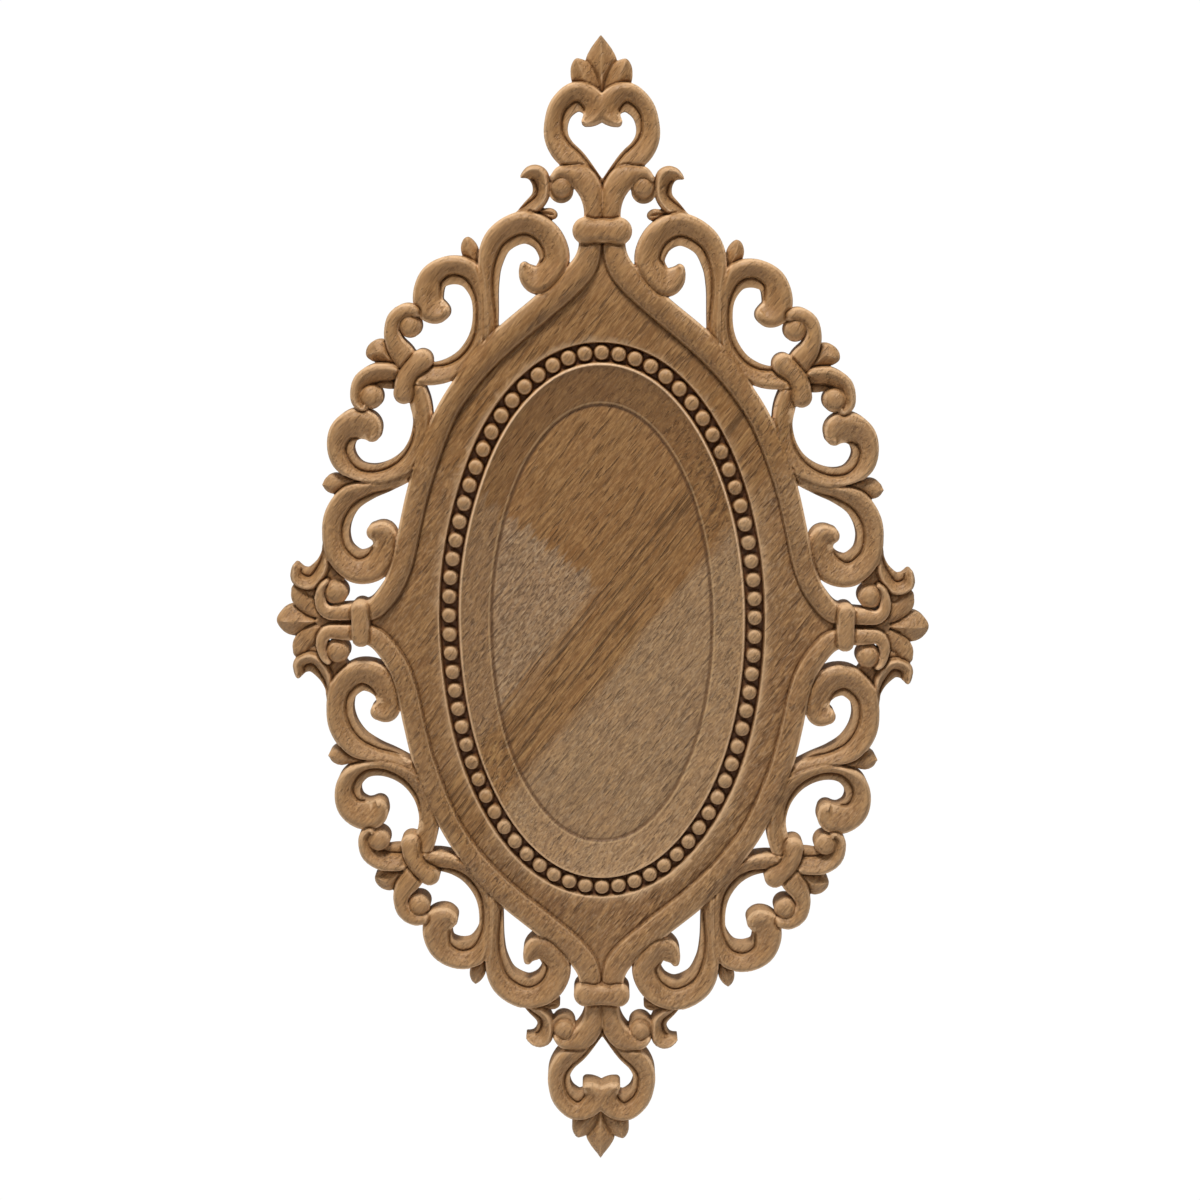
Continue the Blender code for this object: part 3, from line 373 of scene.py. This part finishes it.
def relief_sheets(pitch):
    """Outline field, height and crease depth of the quarter, smoothed from a
    sheet of twice the sampling."""
    fine = carve(pitch / 2, 0.85)
    wood = (fine.out < 0).astype(float)
    known = blur(wood, 1.0)
    high = blur(fine.height * wood, 1.0) / np.maximum(known, 1e-6)
    have = (known > 0.25).astype(float)
    high = high * have
    for _ in range(5):
        near = blur(have, 1.5)
        spread = blur(high * have, 1.5) / np.maximum(near, 1e-6)
        high = np.where(have > 0, high, np.where(near > 0.02, spread, 0.0))
        have = (high > 1.0).astype(float)
    out = blur(np.clip(fine.out, -8, 8), 1.0)
    high, out = high[::2, ::2], out[::2, ::2]
    solid = (out < 0.5).astype(float)
    wide = {}
    for s in (1.3, 5.0):
        q = s / pitch
        wide[s] = blur(high * solid, q)
    # how far a point lies below its surroundings, in millimetres
    crease = wide[1.3] - high
    hollow = wide[5.0] - high
    return out, high, crease, hollow


def settle(x, z):
    """The small unevenness of hand work: a slight shear and sideways drift."""
    return ACROSS * (x + 2.0 * (1 - (z / 560.0) ** 2)), z - 0.0094 * x


def unfold(quarter):
    """Mirror a quarter sheet into the whole panel, rows from -Z up to +Z."""
    upper = np.concatenate([quarter[:, :0:-1], quarter], axis=1)
    return np.concatenate([upper[:0:-1], upper], axis=0)


def rolling(x, z, wave, seed):
    """Smooth seeded field between -1 and 1 whose bumps are a wave apart."""
    rng = np.random.default_rng(seed)
    n = int(1500 / wave) + 5
    grid = rng.uniform(-1, 1, (n, n))
    fx, fz = (x + 720.0) / wave, (z + 720.0) / wave
    i, j = np.floor(fx).astype(int), np.floor(fz).astype(int)
    u, v = fx - i, fz - j
    u, v = u * u * (3 - 2 * u), v * v * (3 - 2 * v)
    return (grid[j, i] * (1 - u) * (1 - v) + grid[j, i + 1] * u * (1 - v)
            + grid[j + 1, i] * (1 - u) * v + grid[j + 1, i + 1] * u * v)


def sheet_mesh(out, high, x0, z0, pitch):
    """Surface of the whole sheet: whole cells, and cut cells along the outline."""
    out = np.where(np.abs(out) < 1e-3, -1e-3, out)
    inside = out < 0
    rows, cols = out.shape
    x, z = x0 + np.arange(cols) * pitch, z0 + np.arange(rows) * pitch
    ids = np.full(out.shape, -1)
    ids[inside] = np.arange(inside.sum())
    gz, gx = np.nonzero(inside)
    px, pz = [x[gx]], [z[gz]]
    count = int(inside.sum())
    hcross = inside[:, :-1] != inside[:, 1:]
    hid = np.full(hcross.shape, -1)
    jj, ii = np.nonzero(hcross)
    hid[jj, ii] = count + np.arange(len(jj))
    t = out[jj, ii] / (out[jj, ii] - out[jj, ii + 1])
    px.append(x[ii] + t * pitch)
    pz.append(z[jj])
    count += len(jj)
    vcross = inside[:-1] != inside[1:]
    vid = np.full(vcross.shape, -1)
    jj, ii = np.nonzero(vcross)
    vid[jj, ii] = count + np.arange(len(jj))
    t = out[jj, ii] / (out[jj, ii] - out[jj + 1, ii])
    px.append(x[ii])
    pz.append(z[jj] + t * pitch)
    px, pz = np.concatenate(px), np.concatenate(pz)
    a, b, d, c = ids[:-1, :-1], ids[:-1, 1:], ids[1:, :-1], ids[1:, 1:]
    s, n, w, e = hid[:-1, :], hid[1:, :], vid[:, :-1], vid[:, 1:]
    code = (a >= 0) * 1 + (b >= 0) * 2 + (c >= 0) * 4 + (d >= 0) * 8
    shapes = {15: [(a, b, c), (a, c, d)], 1: [(a, s, w)], 2: [(b, e, s)], 4: [(c, n, e)], 8: [(d, w, n)],
              3: [(a, b, e), (a, e, w)], 6: [(b, c, n), (b, n, s)], 12: [(c, d, w), (c, w, e)],
              9: [(d, a, s), (d, s, n)], 7: [(a, b, c), (a, c, n), (a, n, w)],
              14: [(c, d, w), (c, w, s), (c, s, b)], 13: [(d, a, s), (d, s, e), (d, e, c)],
              11: [(a, b, e), (a, e, n), (a, n, d)], 5: [(a, s, w), (c, n, e)], 10: [(b, e, s), (d, w, n)]}
    faces = []
    for k, cuts in shapes.items():
        m = code == k
        if m.any():
            faces += [np.stack([q[m] for q in cut], 1) for cut in cuts]
    return px, pz, np.vstack(faces)


def lighten(px, pz, high, faces, target):
    """Collapse the surface to about the target count of triangles, keeping its relief."""
    mesh = bpy.data.meshes.new("relief")
    mesh.vertices.add(len(px))
    co = np.stack([px, -high / (UNIT * 1000), pz], 1).astype(np.float32)
    mesh.vertices.foreach_set("co", co.ravel())
    mesh.loops.add(faces.size)
    mesh.loops.foreach_set("vertex_index", np.ascontiguousarray(faces, dtype=np.int32).ravel())
    mesh.polygons.add(len(faces))
    mesh.polygons.foreach_set("loop_start", np.arange(0, faces.size, 3, dtype=np.int32))
    mesh.update(calc_edges=True)
    mesh.validate()
    piece = bpy.data.objects.new("relief", mesh)
    bpy.context.scene.collection.objects.link(piece)
    fewer = piece.modifiers.new("fewer", "DECIMATE")
    fewer.ratio = min(1.0, target / len(faces))
    graph = bpy.context.evaluated_depsgraph_get()
    done = bpy.data.meshes.new_from_object(piece.evaluated_get(graph), depsgraph=graph)
    co = np.empty(len(done.vertices) * 3, np.float32)
    done.vertices.foreach_get("co", co)
    done.calc_loop_triangles()
    tri = np.empty(len(done.loop_triangles) * 3, np.int32)
    done.loop_triangles.foreach_get("vertices", tri)
    bpy.data.objects.remove(piece, do_unlink=True)
    bpy.data.meshes.remove(mesh)
    bpy.data.meshes.remove(done)
    return co.reshape(-1, 3).astype(float), tri.reshape(-1, 3)


def borders_of(tri):
    """Directed border edges of a set of triangles."""
    e = np.vstack([tri[:, (0, 1)], tri[:, (1, 2)], tri[:, (2, 0)]]).astype(np.int64)
    n = int(tri.max()) + 1
    there, back = e[:, 0] * n + e[:, 1], e[:, 1] * n + e[:, 0]
    return e[~np.isin(there, back)]


def triangulate(points, fence_edges):
    """Triangles between closed borders, outer side and holes left out."""
    verts = [Vector((float(x), float(z))) for x, z in points]
    got = delaunay_2d_cdt(verts, [tuple(map(int, e)) for e in fence_edges], [], 0, 1e-7, True)
    coords, faces, orig = got[0], got[2], got[3]
    back = [o[0] for o in orig]
    tris = [tuple(back[v] for v in f) for f in faces]
    fence = {frozenset(map(int, e)) for e in fence_edges}
    beside = {}
    for n, f in enumerate(tris):
        for a, b in zip(f, f[1:] + f[:1]):
            beside.setdefault(frozenset((a, b)), []).append(n)
    state = [None] * len(tris)
    todo = []
    for e, owners in beside.items():
        if len(owners) == 1 and state[owners[0]] is None:
            state[owners[0]] = e in fence
            todo.append(owners[0])
            break
    while todo:
        n = todo.pop()
        f = tris[n]
        for a, b in zip(f, f[1:] + f[:1]):
            e = frozenset((a, b))
            for m in beside[e]:
                if state[m] is None:
                    state[m] = state[n] != (e in fence)
                    todo.append(m)
    kept = []
    for n, f in enumerate(tris):
        if state[n]:
            (ax, az), (bx, bz), (cx, cz) = (points[v] for v in f)
            kept.append(f if (bx - ax) * (cz - az) - (cx - ax) * (bz - az) > 0 else (f[0], f[2], f[1]))
    return kept


def build_piece():
    out, high, crease, hollow = relief_sheets(PITCH)
    out, high, crease, hollow = unfold(out), unfold(high), unfold(crease), unfold(hollow)
    x0, z0 = -(out.shape[1] - 1) / 2 * PITCH, -(out.shape[0] - 1) / 2 * PITCH
    X, Z = np.meshgrid(x0 + np.arange(out.shape[1]) * PITCH, z0 + np.arange(out.shape[0]) * PITCH)
    # the gouge bites a little deeper where one form meets another
    high = high - np.clip(crease - 0.08, 0, 0.8) * 0.35
    # the hand leaves no surface quite even
    high = high + 0.10 * rolling(X, Z, 46.0, 5) + 0.06 * rolling(X, Z, 19.0, 6)
    px, pz, faces = sheet_mesh(out, high, x0, z0, PITCH)
    tops = bilinear(high, px, pz, x0, z0, PITCH)
    co, tri = lighten(px, pz, tops, faces, FACE_TRIANGLES)
    x, z, tops = co[:, 0], co[:, 2], -co[:, 1] * UNIT * 1000
    edge = borders_of(tri)
    ring = np.unique(edge)
    wx, wz = settle(x, z)
    wander = 0.9 * rolling(x, z, 95.0, 11), 0.9 * rolling(x, z, 95.0, 12)
    wx, wz = wx + wander[0], wz + wander[1]
    # the beads and the dish sit a hair low in the border
    spots = SimpleNamespace(X=np.abs(x), Z=np.abs(z))
    beads, line = oval(spots, BEAD_RING), oval(spots, DISH_LINE)
    slip, sink = ease(1 - beads / 45.0), ease((-11.0 - beads) / 30.0)
    wx, wz = wx - 0.8 * slip - 0.3 * sink, wz - 1.85 * slip - 2.6 * sink
    count = len(x)
    spot = np.full(count, -1)
    spot[ring] = count + np.arange(len(ring))
    back_points = [(float(wx[k]), float(wz[k])) for k in ring]
    local = np.full(count, -1)
    local[ring] = np.arange(len(ring))
    back = np.array(triangulate(back_points, local[edge]))
    verts = np.vstack([np.stack([wx * UNIT, -tops / 1000, wz * UNIT], 1),
                       np.stack([wx[ring] * UNIT, np.zeros(len(ring)), wz[ring] * UNIT], 1)])
    walls = np.vstack([np.stack([edge[:, 1], edge[:, 0], spot[edge[:, 0]]], 1),
                       np.stack([edge[:, 1], spot[edge[:, 0]], spot[edge[:, 1]]], 1)])
    all_faces = np.vstack([tri, walls, back[:, ::-1] + count])
    mesh = bpy.data.meshes.new("carved_medallion")
    mesh.from_pydata(verts.tolist(), [], all_faces.tolist())
    mesh.update(calc_edges=True)
    mesh.validate()
    marks = {"crease": bilinear(crease, x, z, x0, z0, PITCH), "hollow": bilinear(hollow, x, z, x0, z0, PITCH),
             "rise": tops, "beads": beads, "line": line, "inset": bilinear(out, x, z, x0, z0, PITCH)}
    for name, values in marks.items():
        field = mesh.attributes.new(name, "FLOAT", "POINT")
        full = np.full(len(verts), 99.0 if name in ("beads", "line") else -6.0 if name == "inset" else 0.0, np.float32)
        full[:count] = values
        field.data.foreach_set("value", full)
    mesh.shade_smooth()
    mesh.set_sharp_from_angle(angle=math.radians(52))
    return mesh


def bilinear(a, x, z, x0, z0, pitch):
    fx = np.clip((x - x0) / pitch, 0, a.shape[1] - 1.001)
    fz = np.clip((z - z0) / pitch, 0, a.shape[0] - 1.001)
    i, j = fx.astype(int), fz.astype(int)
    u, v = fx - i, fz - j
    return (a[j, i] * (1 - u) * (1 - v) + a[j, i + 1] * u * (1 - v)
            + a[j + 1, i] * (1 - u) * v + a[j + 1, i + 1] * u * v)


# ---------------------------------------------------------------- wood
def srgb(r, g, b):
    def lin(c):
        c /= 255.0
        return c / 12.92 if c <= 0.04045 else ((c + 0.055) / 1.055) ** 2.4
    return (lin(r), lin(g), lin(b), 1.0)


class Nodes:
    """Short hand for wiring a material."""

    def __init__(self, material):
        self.tree = material.node_tree

    def add(self, kind, inputs=None, **settings):
        node = self.tree.nodes.new(kind)
        for key, value in settings.items():
            setattr(node, key, value)
        for key, value in (inputs or {}).items():
            if isinstance(value, bpy.types.NodeSocket):
                self.tree.links.new(value, node.inputs[key])
            else:
                node.inputs[key].default_value = value
        return node

    def math(self, what, a, b=None, c=None, clamp=False):
        inputs = {0: a}
        if b is not None:
            inputs[1] = b
        if c is not None:
            inputs[2] = c
        return self.add("ShaderNodeMath", inputs, operation=what, use_clamp=clamp).outputs[0]

    def span(self, value, a, b, lo=0.0, hi=1.0):
        return self.add("ShaderNodeMapRange", {0: value, 1: a, 2: b, 3: lo, 4: hi},
                        interpolation_type="SMOOTHSTEP").outputs[0]

    def mix(self, amount, a, b, how="MIX"):
        node = self.add("ShaderNodeMix", data_type="RGBA", blend_type=how)
        for socket, value in ((node.inputs[0], amount), (node.inputs[6], a), (node.inputs[7], b)):
            if isinstance(value, bpy.types.NodeSocket):
                self.tree.links.new(value, socket)
            else:
                socket.default_value = value
        return node.outputs[2]


GRAIN_ANGLE = 52.0             # degrees from the short axis, rising to the right
PALE = (157, 129, 98)
WARM = (139, 95, 51)


def wood_material():
    material = bpy.data.materials.new("carved_wood")
    material.use_nodes = True
    n = Nodes(material)
    surface = n.tree.nodes["Principled BSDF"]
    place = n.add("ShaderNodeTexCoord").outputs["Object"]
    grain = n.add("ShaderNodeMapping", {"Vector": place, "Rotation": (0, math.radians(GRAIN_ANGLE), 0)}).outputs[0]

    def along(stretch_long, stretch_across, scale, detail=3.0, rough=0.55, distort=0.0, shift=0.0):
        m = n.add("ShaderNodeMapping", {"Vector": grain, "Location": (shift, shift * 0.7, shift * 1.3),
                                        "Scale": (stretch_long, stretch_across, stretch_across)}).outputs[0]
        t = n.add("ShaderNodeTexNoise", {"Vector": m, "Scale": scale, "Detail": detail, "Roughness": rough,
                                         "Distortion": distort})
        return t.outputs[0]

    # broad figure: pale and warm regions that run with the grain
    figure = n.span(along(0.28, 1.0, 26.0, 4.0, 0.6, 0.6, 3.1), 0.36, 0.64)
    apart = n.add("ShaderNodeSeparateXYZ", {"Vector": grain})
    run, over = apart.outputs[0], apart.outputs[2]
    stagger = n.math("MULTIPLY_ADD", along(0.04, 1.0, 420.0, 4.0, 0.6, 0.0, 4.4), 0.022, -0.011)
    waver = n.math("MULTIPLY_ADD", along(0.2, 1.0, 60.0, 3.0, 0.5, 0.0, 6.1), 0.008, -0.004)
    run = n.math("ADD", run, stagger)
    over = n.math("ADD", over, waver)
    # the two pale patches fray into the stripe in streaks that run with the grain
    fray = n.math("MULTIPLY_ADD", along(0.03, 1.0, 520.0, 3.0, 0.65, 0.0, 2.9), 0.012, -0.006)
    frayed = n.math("ADD", over, fray)
    upper = n.math("MULTIPLY", n.span(frayed, 0.0035, 0.0105), n.span(run, 0.0116, 0.0088))
    lower = n.span(n.math("ADD", over, n.math("MULTIPLY", fray, 0.6)), -0.0110, -0.0170)
    beads = n.add("ShaderNodeAttribute", attribute_name="beads").outputs["Fac"]
    line = n.add("ShaderNodeAttribute", attribute_name="line").outputs["Fac"]
    upper = n.math("MULTIPLY", upper, n.span(line, 3.0, -3.0, 0.55, 1.0))
    bands = n.math("MAXIMUM", upper, lower)
    bands = n.math("MULTIPLY", bands, n.span(beads, 30.0, -12.0, 0.55, 1.0))
    figure = n.math("MULTIPLY_ADD", bands, 0.70, n.math("MULTIPLY", figure, 0.26))
    mottled = n.span(along(0.6, 1.0, 75.0, 4.0, 0.6, 0.4, 7.7), 0.36, 0.64)
    streak = n.span(along(0.045, 1.0, 620.0, 3.0, 0.6, 0.1, 1.3), 0.33, 0.67)
    fine = n.span(along(0.12, 1.0, 950.0, 3.0, 0.65, 0.0, 5.9), 0.38, 0.62)
    grit = n.span(along(0.22, 1.0, 1400.0, 2.0, 0.6, 0.0, 8.1), 0.42, 0.60)
    pores = n.span(along(0.13, 1.0, 1050.0, 1.5, 0.5, 0.0, 2.3), 0.59, 0.67)
    lines = n.span(along(0.030, 1.0, 760.0, 2.0, 0.6, 0.1, 3.7), 0.53, 0.67)
    pale_lines = n.span(along(0.026, 1.0, 560.0, 2.0, 0.6, 0.1, 6.3), 0.54, 0.70)

    dots = n.span(along(0.36, 1.0, 1450.0, 1.0, 0.5, 0.0, 4.9), 0.50, 0.62)
    chips = n.span(along(0.30, 1.0, 1300.0, 1.0, 0.5, 0.0, 1.9), 0.54, 0.66)
    sparse = n.span(along(0.3, 1.0, 120.0, 2.0, 0.5, 0.0, 9.2), 0.40, 0.62)

    base = n.mix(figure, srgb(*WARM), srgb(*PALE))
    base = n.mix(n.math("MULTIPLY", mottled, 0.30), base, srgb(150, 100, 62))
    base = n.mix(n.math("MULTIPLY", streak, 0.46), base, srgb(112, 76, 40))
    base = n.mix(n.math("MULTIPLY", fine, 0.42), base, srgb(206, 160, 106))
    base = n.mix(n.math("MULTIPLY", grit, 0.46), base, srgb(94, 58, 26))
    dark_pores = n.math("MULTIPLY", pores, n.math("MULTIPLY_ADD", sparse, 0.40, 0.45))
    base = n.mix(dark_pores, base, srgb(74, 44, 22))
    # short flecks in the pale wood, long dark vessels in the warm stripe between
    stripe = n.math("MULTIPLY", n.span(over, -0.0150, -0.0105), n.span(over, 0.0110, 0.0065))
    base = n.mix(n.math("MULTIPLY", pale_lines, n.math("MULTIPLY_ADD", stripe, 0.40, 0.06)), base, srgb(196, 154, 100))
    base = n.mix(n.math("MULTIPLY", lines, n.math("MULTIPLY_ADD", stripe, 0.70, 0.14)), base, srgb(62, 34, 10))
    inside = n.span(beads, 30.0, -12.0)
    base = n.mix(n.math("MULTIPLY", n.math("MULTIPLY", upper, 0.28), inside), base, srgb(176, 150, 122))
    base = n.mix(n.math("MULTIPLY", n.math("MULTIPLY", lower, 0.26), inside), base, srgb(188, 158, 122))
    speck = n.math("MULTIPLY_ADD", lower, 0.20, 0.10)
    speck = n.math("MAXIMUM", speck, n.math("MULTIPLY", upper, 0.46))
    base = n.mix(n.math("MULTIPLY", dots, speck), base, srgb(78, 50, 28))
    base = n.mix(n.math("MULTIPLY", chips, n.math("MULTIPLY", speck, 0.6)), base, srgb(214, 184, 150))
    base = n.mix(n.math("MULTIPLY", n.math("SUBTRACT", 1.0, bands), 0.22), base, srgb(146, 104, 48))
    # painted shade in the creases and hollows, painted highlight on the crests and outer edges
    crease = n.add("ShaderNodeAttribute", attribute_name="crease").outputs["Fac"]
    hollow = n.add("ShaderNodeAttribute", attribute_name="hollow").outputs["Fac"]
    inset = n.add("ShaderNodeAttribute", attribute_name="inset").outputs["Fac"]
    # painted shade: darker in the hollows, darker still along the creases
    base = n.mix(n.span(hollow, 0.3, 2.2, 0.0, 0.22), base, srgb(112, 68, 30))
    base = n.mix(n.span(crease, 0.09, 0.60, 0.0, 0.68), base, srgb(80, 42, 14))
    rise = n.add("ShaderNodeAttribute", attribute_name="rise").outputs["Fac"]
    proud = n.span(rise, 6.9, 7.7, 0.25, 1.0)
    base = n.mix(n.span(beads, 35.0, 90.0, 0.0, 0.18), base, srgb(214, 166, 116))
    # painted highlight on the crests, along the edges just inside the outline and on convex ground, strongest on the
    # raised forms
    base = n.mix(n.math("MULTIPLY", n.span(crease, -0.06, -0.40, 0.0, 0.72), proud), base, srgb(230, 192, 152))
    base = n.mix(n.math("MULTIPLY", n.span(inset, -2.6, -0.9, 0.0, 0.52), proud), base, srgb(238, 200, 158))
    base = n.mix(n.span(hollow, -0.1, -1.2, 0.0, 0.30), base, srgb(188, 150, 108))
    # painted shade between the beads and on the dish's upper slope, painted highlights on the dish lip and the
    # channel's outer edge, and the line cut around the dish floor painted dark with a painted highlight beside it
    upright = n.add("ShaderNodeSeparateXYZ", {"Vector": place}).outputs[2]
    # painted shade on the slope of the dish, darker towards the top
    bowl = n.math("MULTIPLY", n.span(line, 1.0, 4.0), n.span(beads, -10.0, -13.0))
    base = n.mix(n.math("MULTIPLY", bowl, n.span(upright, 0.01, 0.09, 0.0, 0.38)), base, srgb(114, 74, 30))
    # painted shade in the bead channel, on its floor and the lower sides of the beads
    groove = n.math("MULTIPLY", n.span(n.math("ABSOLUTE", beads), 10.6, 9.4), n.span(rise, 7.0, 5.6))
    base = n.mix(n.math("MULTIPLY", groove, 0.66), base, srgb(98, 54, 20))
    # painted highlight along the dish's lip, brighter towards the top
    lip = n.span(n.math("ABSOLUTE", n.math("ADD", beads, 11.2)), 1.3, 0.3)
    lip = n.math("MULTIPLY", lip, n.span(upright, -0.03, 0.09, 0.10, 0.70))
    base = n.mix(lip, base, srgb(240, 204, 168))
    # painted highlight along the outer edge of the bead channel, brighter towards the bottom
    brink_highlight = n.span(n.math("ABSOLUTE", n.math("SUBTRACT", beads, 11.2)), 1.1, 0.3)
    brink_highlight = n.math("MULTIPLY", brink_highlight, n.span(upright, 0.03, -0.09, 0.06, 0.30))
    base = n.mix(brink_highlight, base, srgb(236, 200, 160))
    # painted highlight just outside the incised line round the dish floor, painted shade in the line itself
    base = n.mix(n.span(n.math("ABSOLUTE", n.math("SUBTRACT", line, 2.9)), 1.4, 0.3, 0.0, 0.30), base, srgb(214, 178, 134))
    base = n.mix(n.span(n.math("ABSOLUTE", line), 2.6, 0.5, 0.0, 0.62), base, srgb(84, 50, 20))
    n.tree.links.new(base, surface.inputs["Base Color"])
    rough = n.math("MULTIPLY_ADD", fine, 0.08, 0.49)
    n.tree.links.new(rough, surface.inputs["Roughness"])
    surface.inputs["Specular IOR Level"].default_value = 0.45
    bumps = n.math("ADD", n.math("MULTIPLY", streak, 0.16), n.math("MULTIPLY", fine, 0.22))
    bumps = n.math("SUBTRACT", bumps, n.math("MULTIPLY", pores, 0.55))
    bumps = n.math("SUBTRACT", bumps, n.math("MULTIPLY", dots, n.math("MULTIPLY", speck, 0.7)))
    bumps = n.math("SUBTRACT", bumps, n.math("MULTIPLY", lines, n.math("MULTIPLY_ADD", stripe, 0.45, 0.15)))
    bump = n.add("ShaderNodeBump", {"Height": bumps, "Strength": 1.0, "Distance": 0.00036})
    n.tree.links.new(bump.outputs[0], surface.inputs["Normal"])
    return material


piece = bpy.data.objects.new("carved_medallion", build_piece())
bpy.context.scene.collection.objects.link(piece)
piece.data.materials.append(wood_material())
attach(piece, "root")
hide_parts("carved_applique")

# ---------------------------------------------------------------- floor, light, camera
FLOOR = -0.46


def plain(name, colour, rough):
    material = bpy.data.materials.new(name)
    material.use_nodes = True
    surface = material.node_tree.nodes["Principled BSDF"]
    surface.inputs["Base Color"].default_value = colour
    surface.inputs["Roughness"].default_value = rough
    return material


ground = bpy.data.meshes.new("floor")
ground.from_pydata([(-1.1, -1.3, FLOOR), (1.1, -1.3, FLOOR), (1.1, 0.42, FLOOR), (-1.1, 0.42, FLOOR)], [],
                   [(0, 1, 2, 3)])
ground.materials.append(plain("pale_floor", (0.93, 0.93, 0.93, 1), 0.85))
floor = bpy.data.objects.new("floor", ground)
bpy.context.scene.collection.objects.link(floor)

world = bpy.data.worlds.new("studio")
world.use_nodes = True
sky = Nodes(world)
seen = sky.tree.nodes["Background"]
seen.inputs[0].default_value = (1.0, 1.0, 1.0, 1.0)
seen.inputs[1].default_value = 1.02
up = sky.add("ShaderNodeSeparateXYZ", {"Vector": sky.add("ShaderNodeTexCoord").outputs["Generated"]}).outputs[2]
fill = sky.add("ShaderNodeBackground", {"Color": (1.0, 0.99, 0.97, 1.0), "Strength": sky.span(up, -0.5, 0.9, 0.09, 0.42)})
both = sky.add("ShaderNodeMixShader", {0: sky.add("ShaderNodeLightPath").outputs["Is Camera Ray"], 1: fill.outputs[0],
                                       2: seen.outputs[0]})
sky.tree.links.new(both.outputs[0], sky.tree.nodes["World Output"].inputs[0])
bpy.context.scene.world = world


def lamp(name, at, aim, size, power, colour=(1, 1, 1)):
    light = bpy.data.lights.new(name, "AREA")
    light.shape = "RECTANGLE"
    light.size, light.size_y = size
    light.energy = power
    light.color = colour
    thing = bpy.data.objects.new(name, light)
    thing.location = at
    thing.rotation_euler = (Vector(aim) - Vector(at)).to_track_quat("-Z", "Y").to_euler()
    bpy.context.scene.collection.objects.link(thing)
    return thing


lamp("key", (-0.22, -0.86, 1.72), (0, 0, 0), (0.5, 0.4), 35.0, (1.0, 0.972, 0.905))

TILT = math.radians(10.46)     # the camera looks down this far
AWAY = 0.75
PIXEL = UNIT * ACROSS          # what one pixel of the 1200 x 1200 frame covers at the aim
aim = Vector((-1.0 * UNIT, -0.010, 25.8 * UNIT))
back = Vector((0.0, -math.cos(TILT), math.sin(TILT)))
camera = bpy.data.objects.new("camera", bpy.data.cameras.new("camera"))
camera.location = aim + back * AWAY
camera.rotation_euler = (aim - camera.location).to_track_quat("-Z", "Y").to_euler()
camera.data.sensor_width = 36.0
camera.data.lens = 36.3 * (AWAY / PIXEL) / 1200.0
camera.data.clip_start = 0.02
camera.data.clip_end = 60.0
bpy.context.scene.collection.objects.link(camera)
bpy.context.scene.camera = camera
bpy.context.scene.view_settings.view_transform = "Standard"
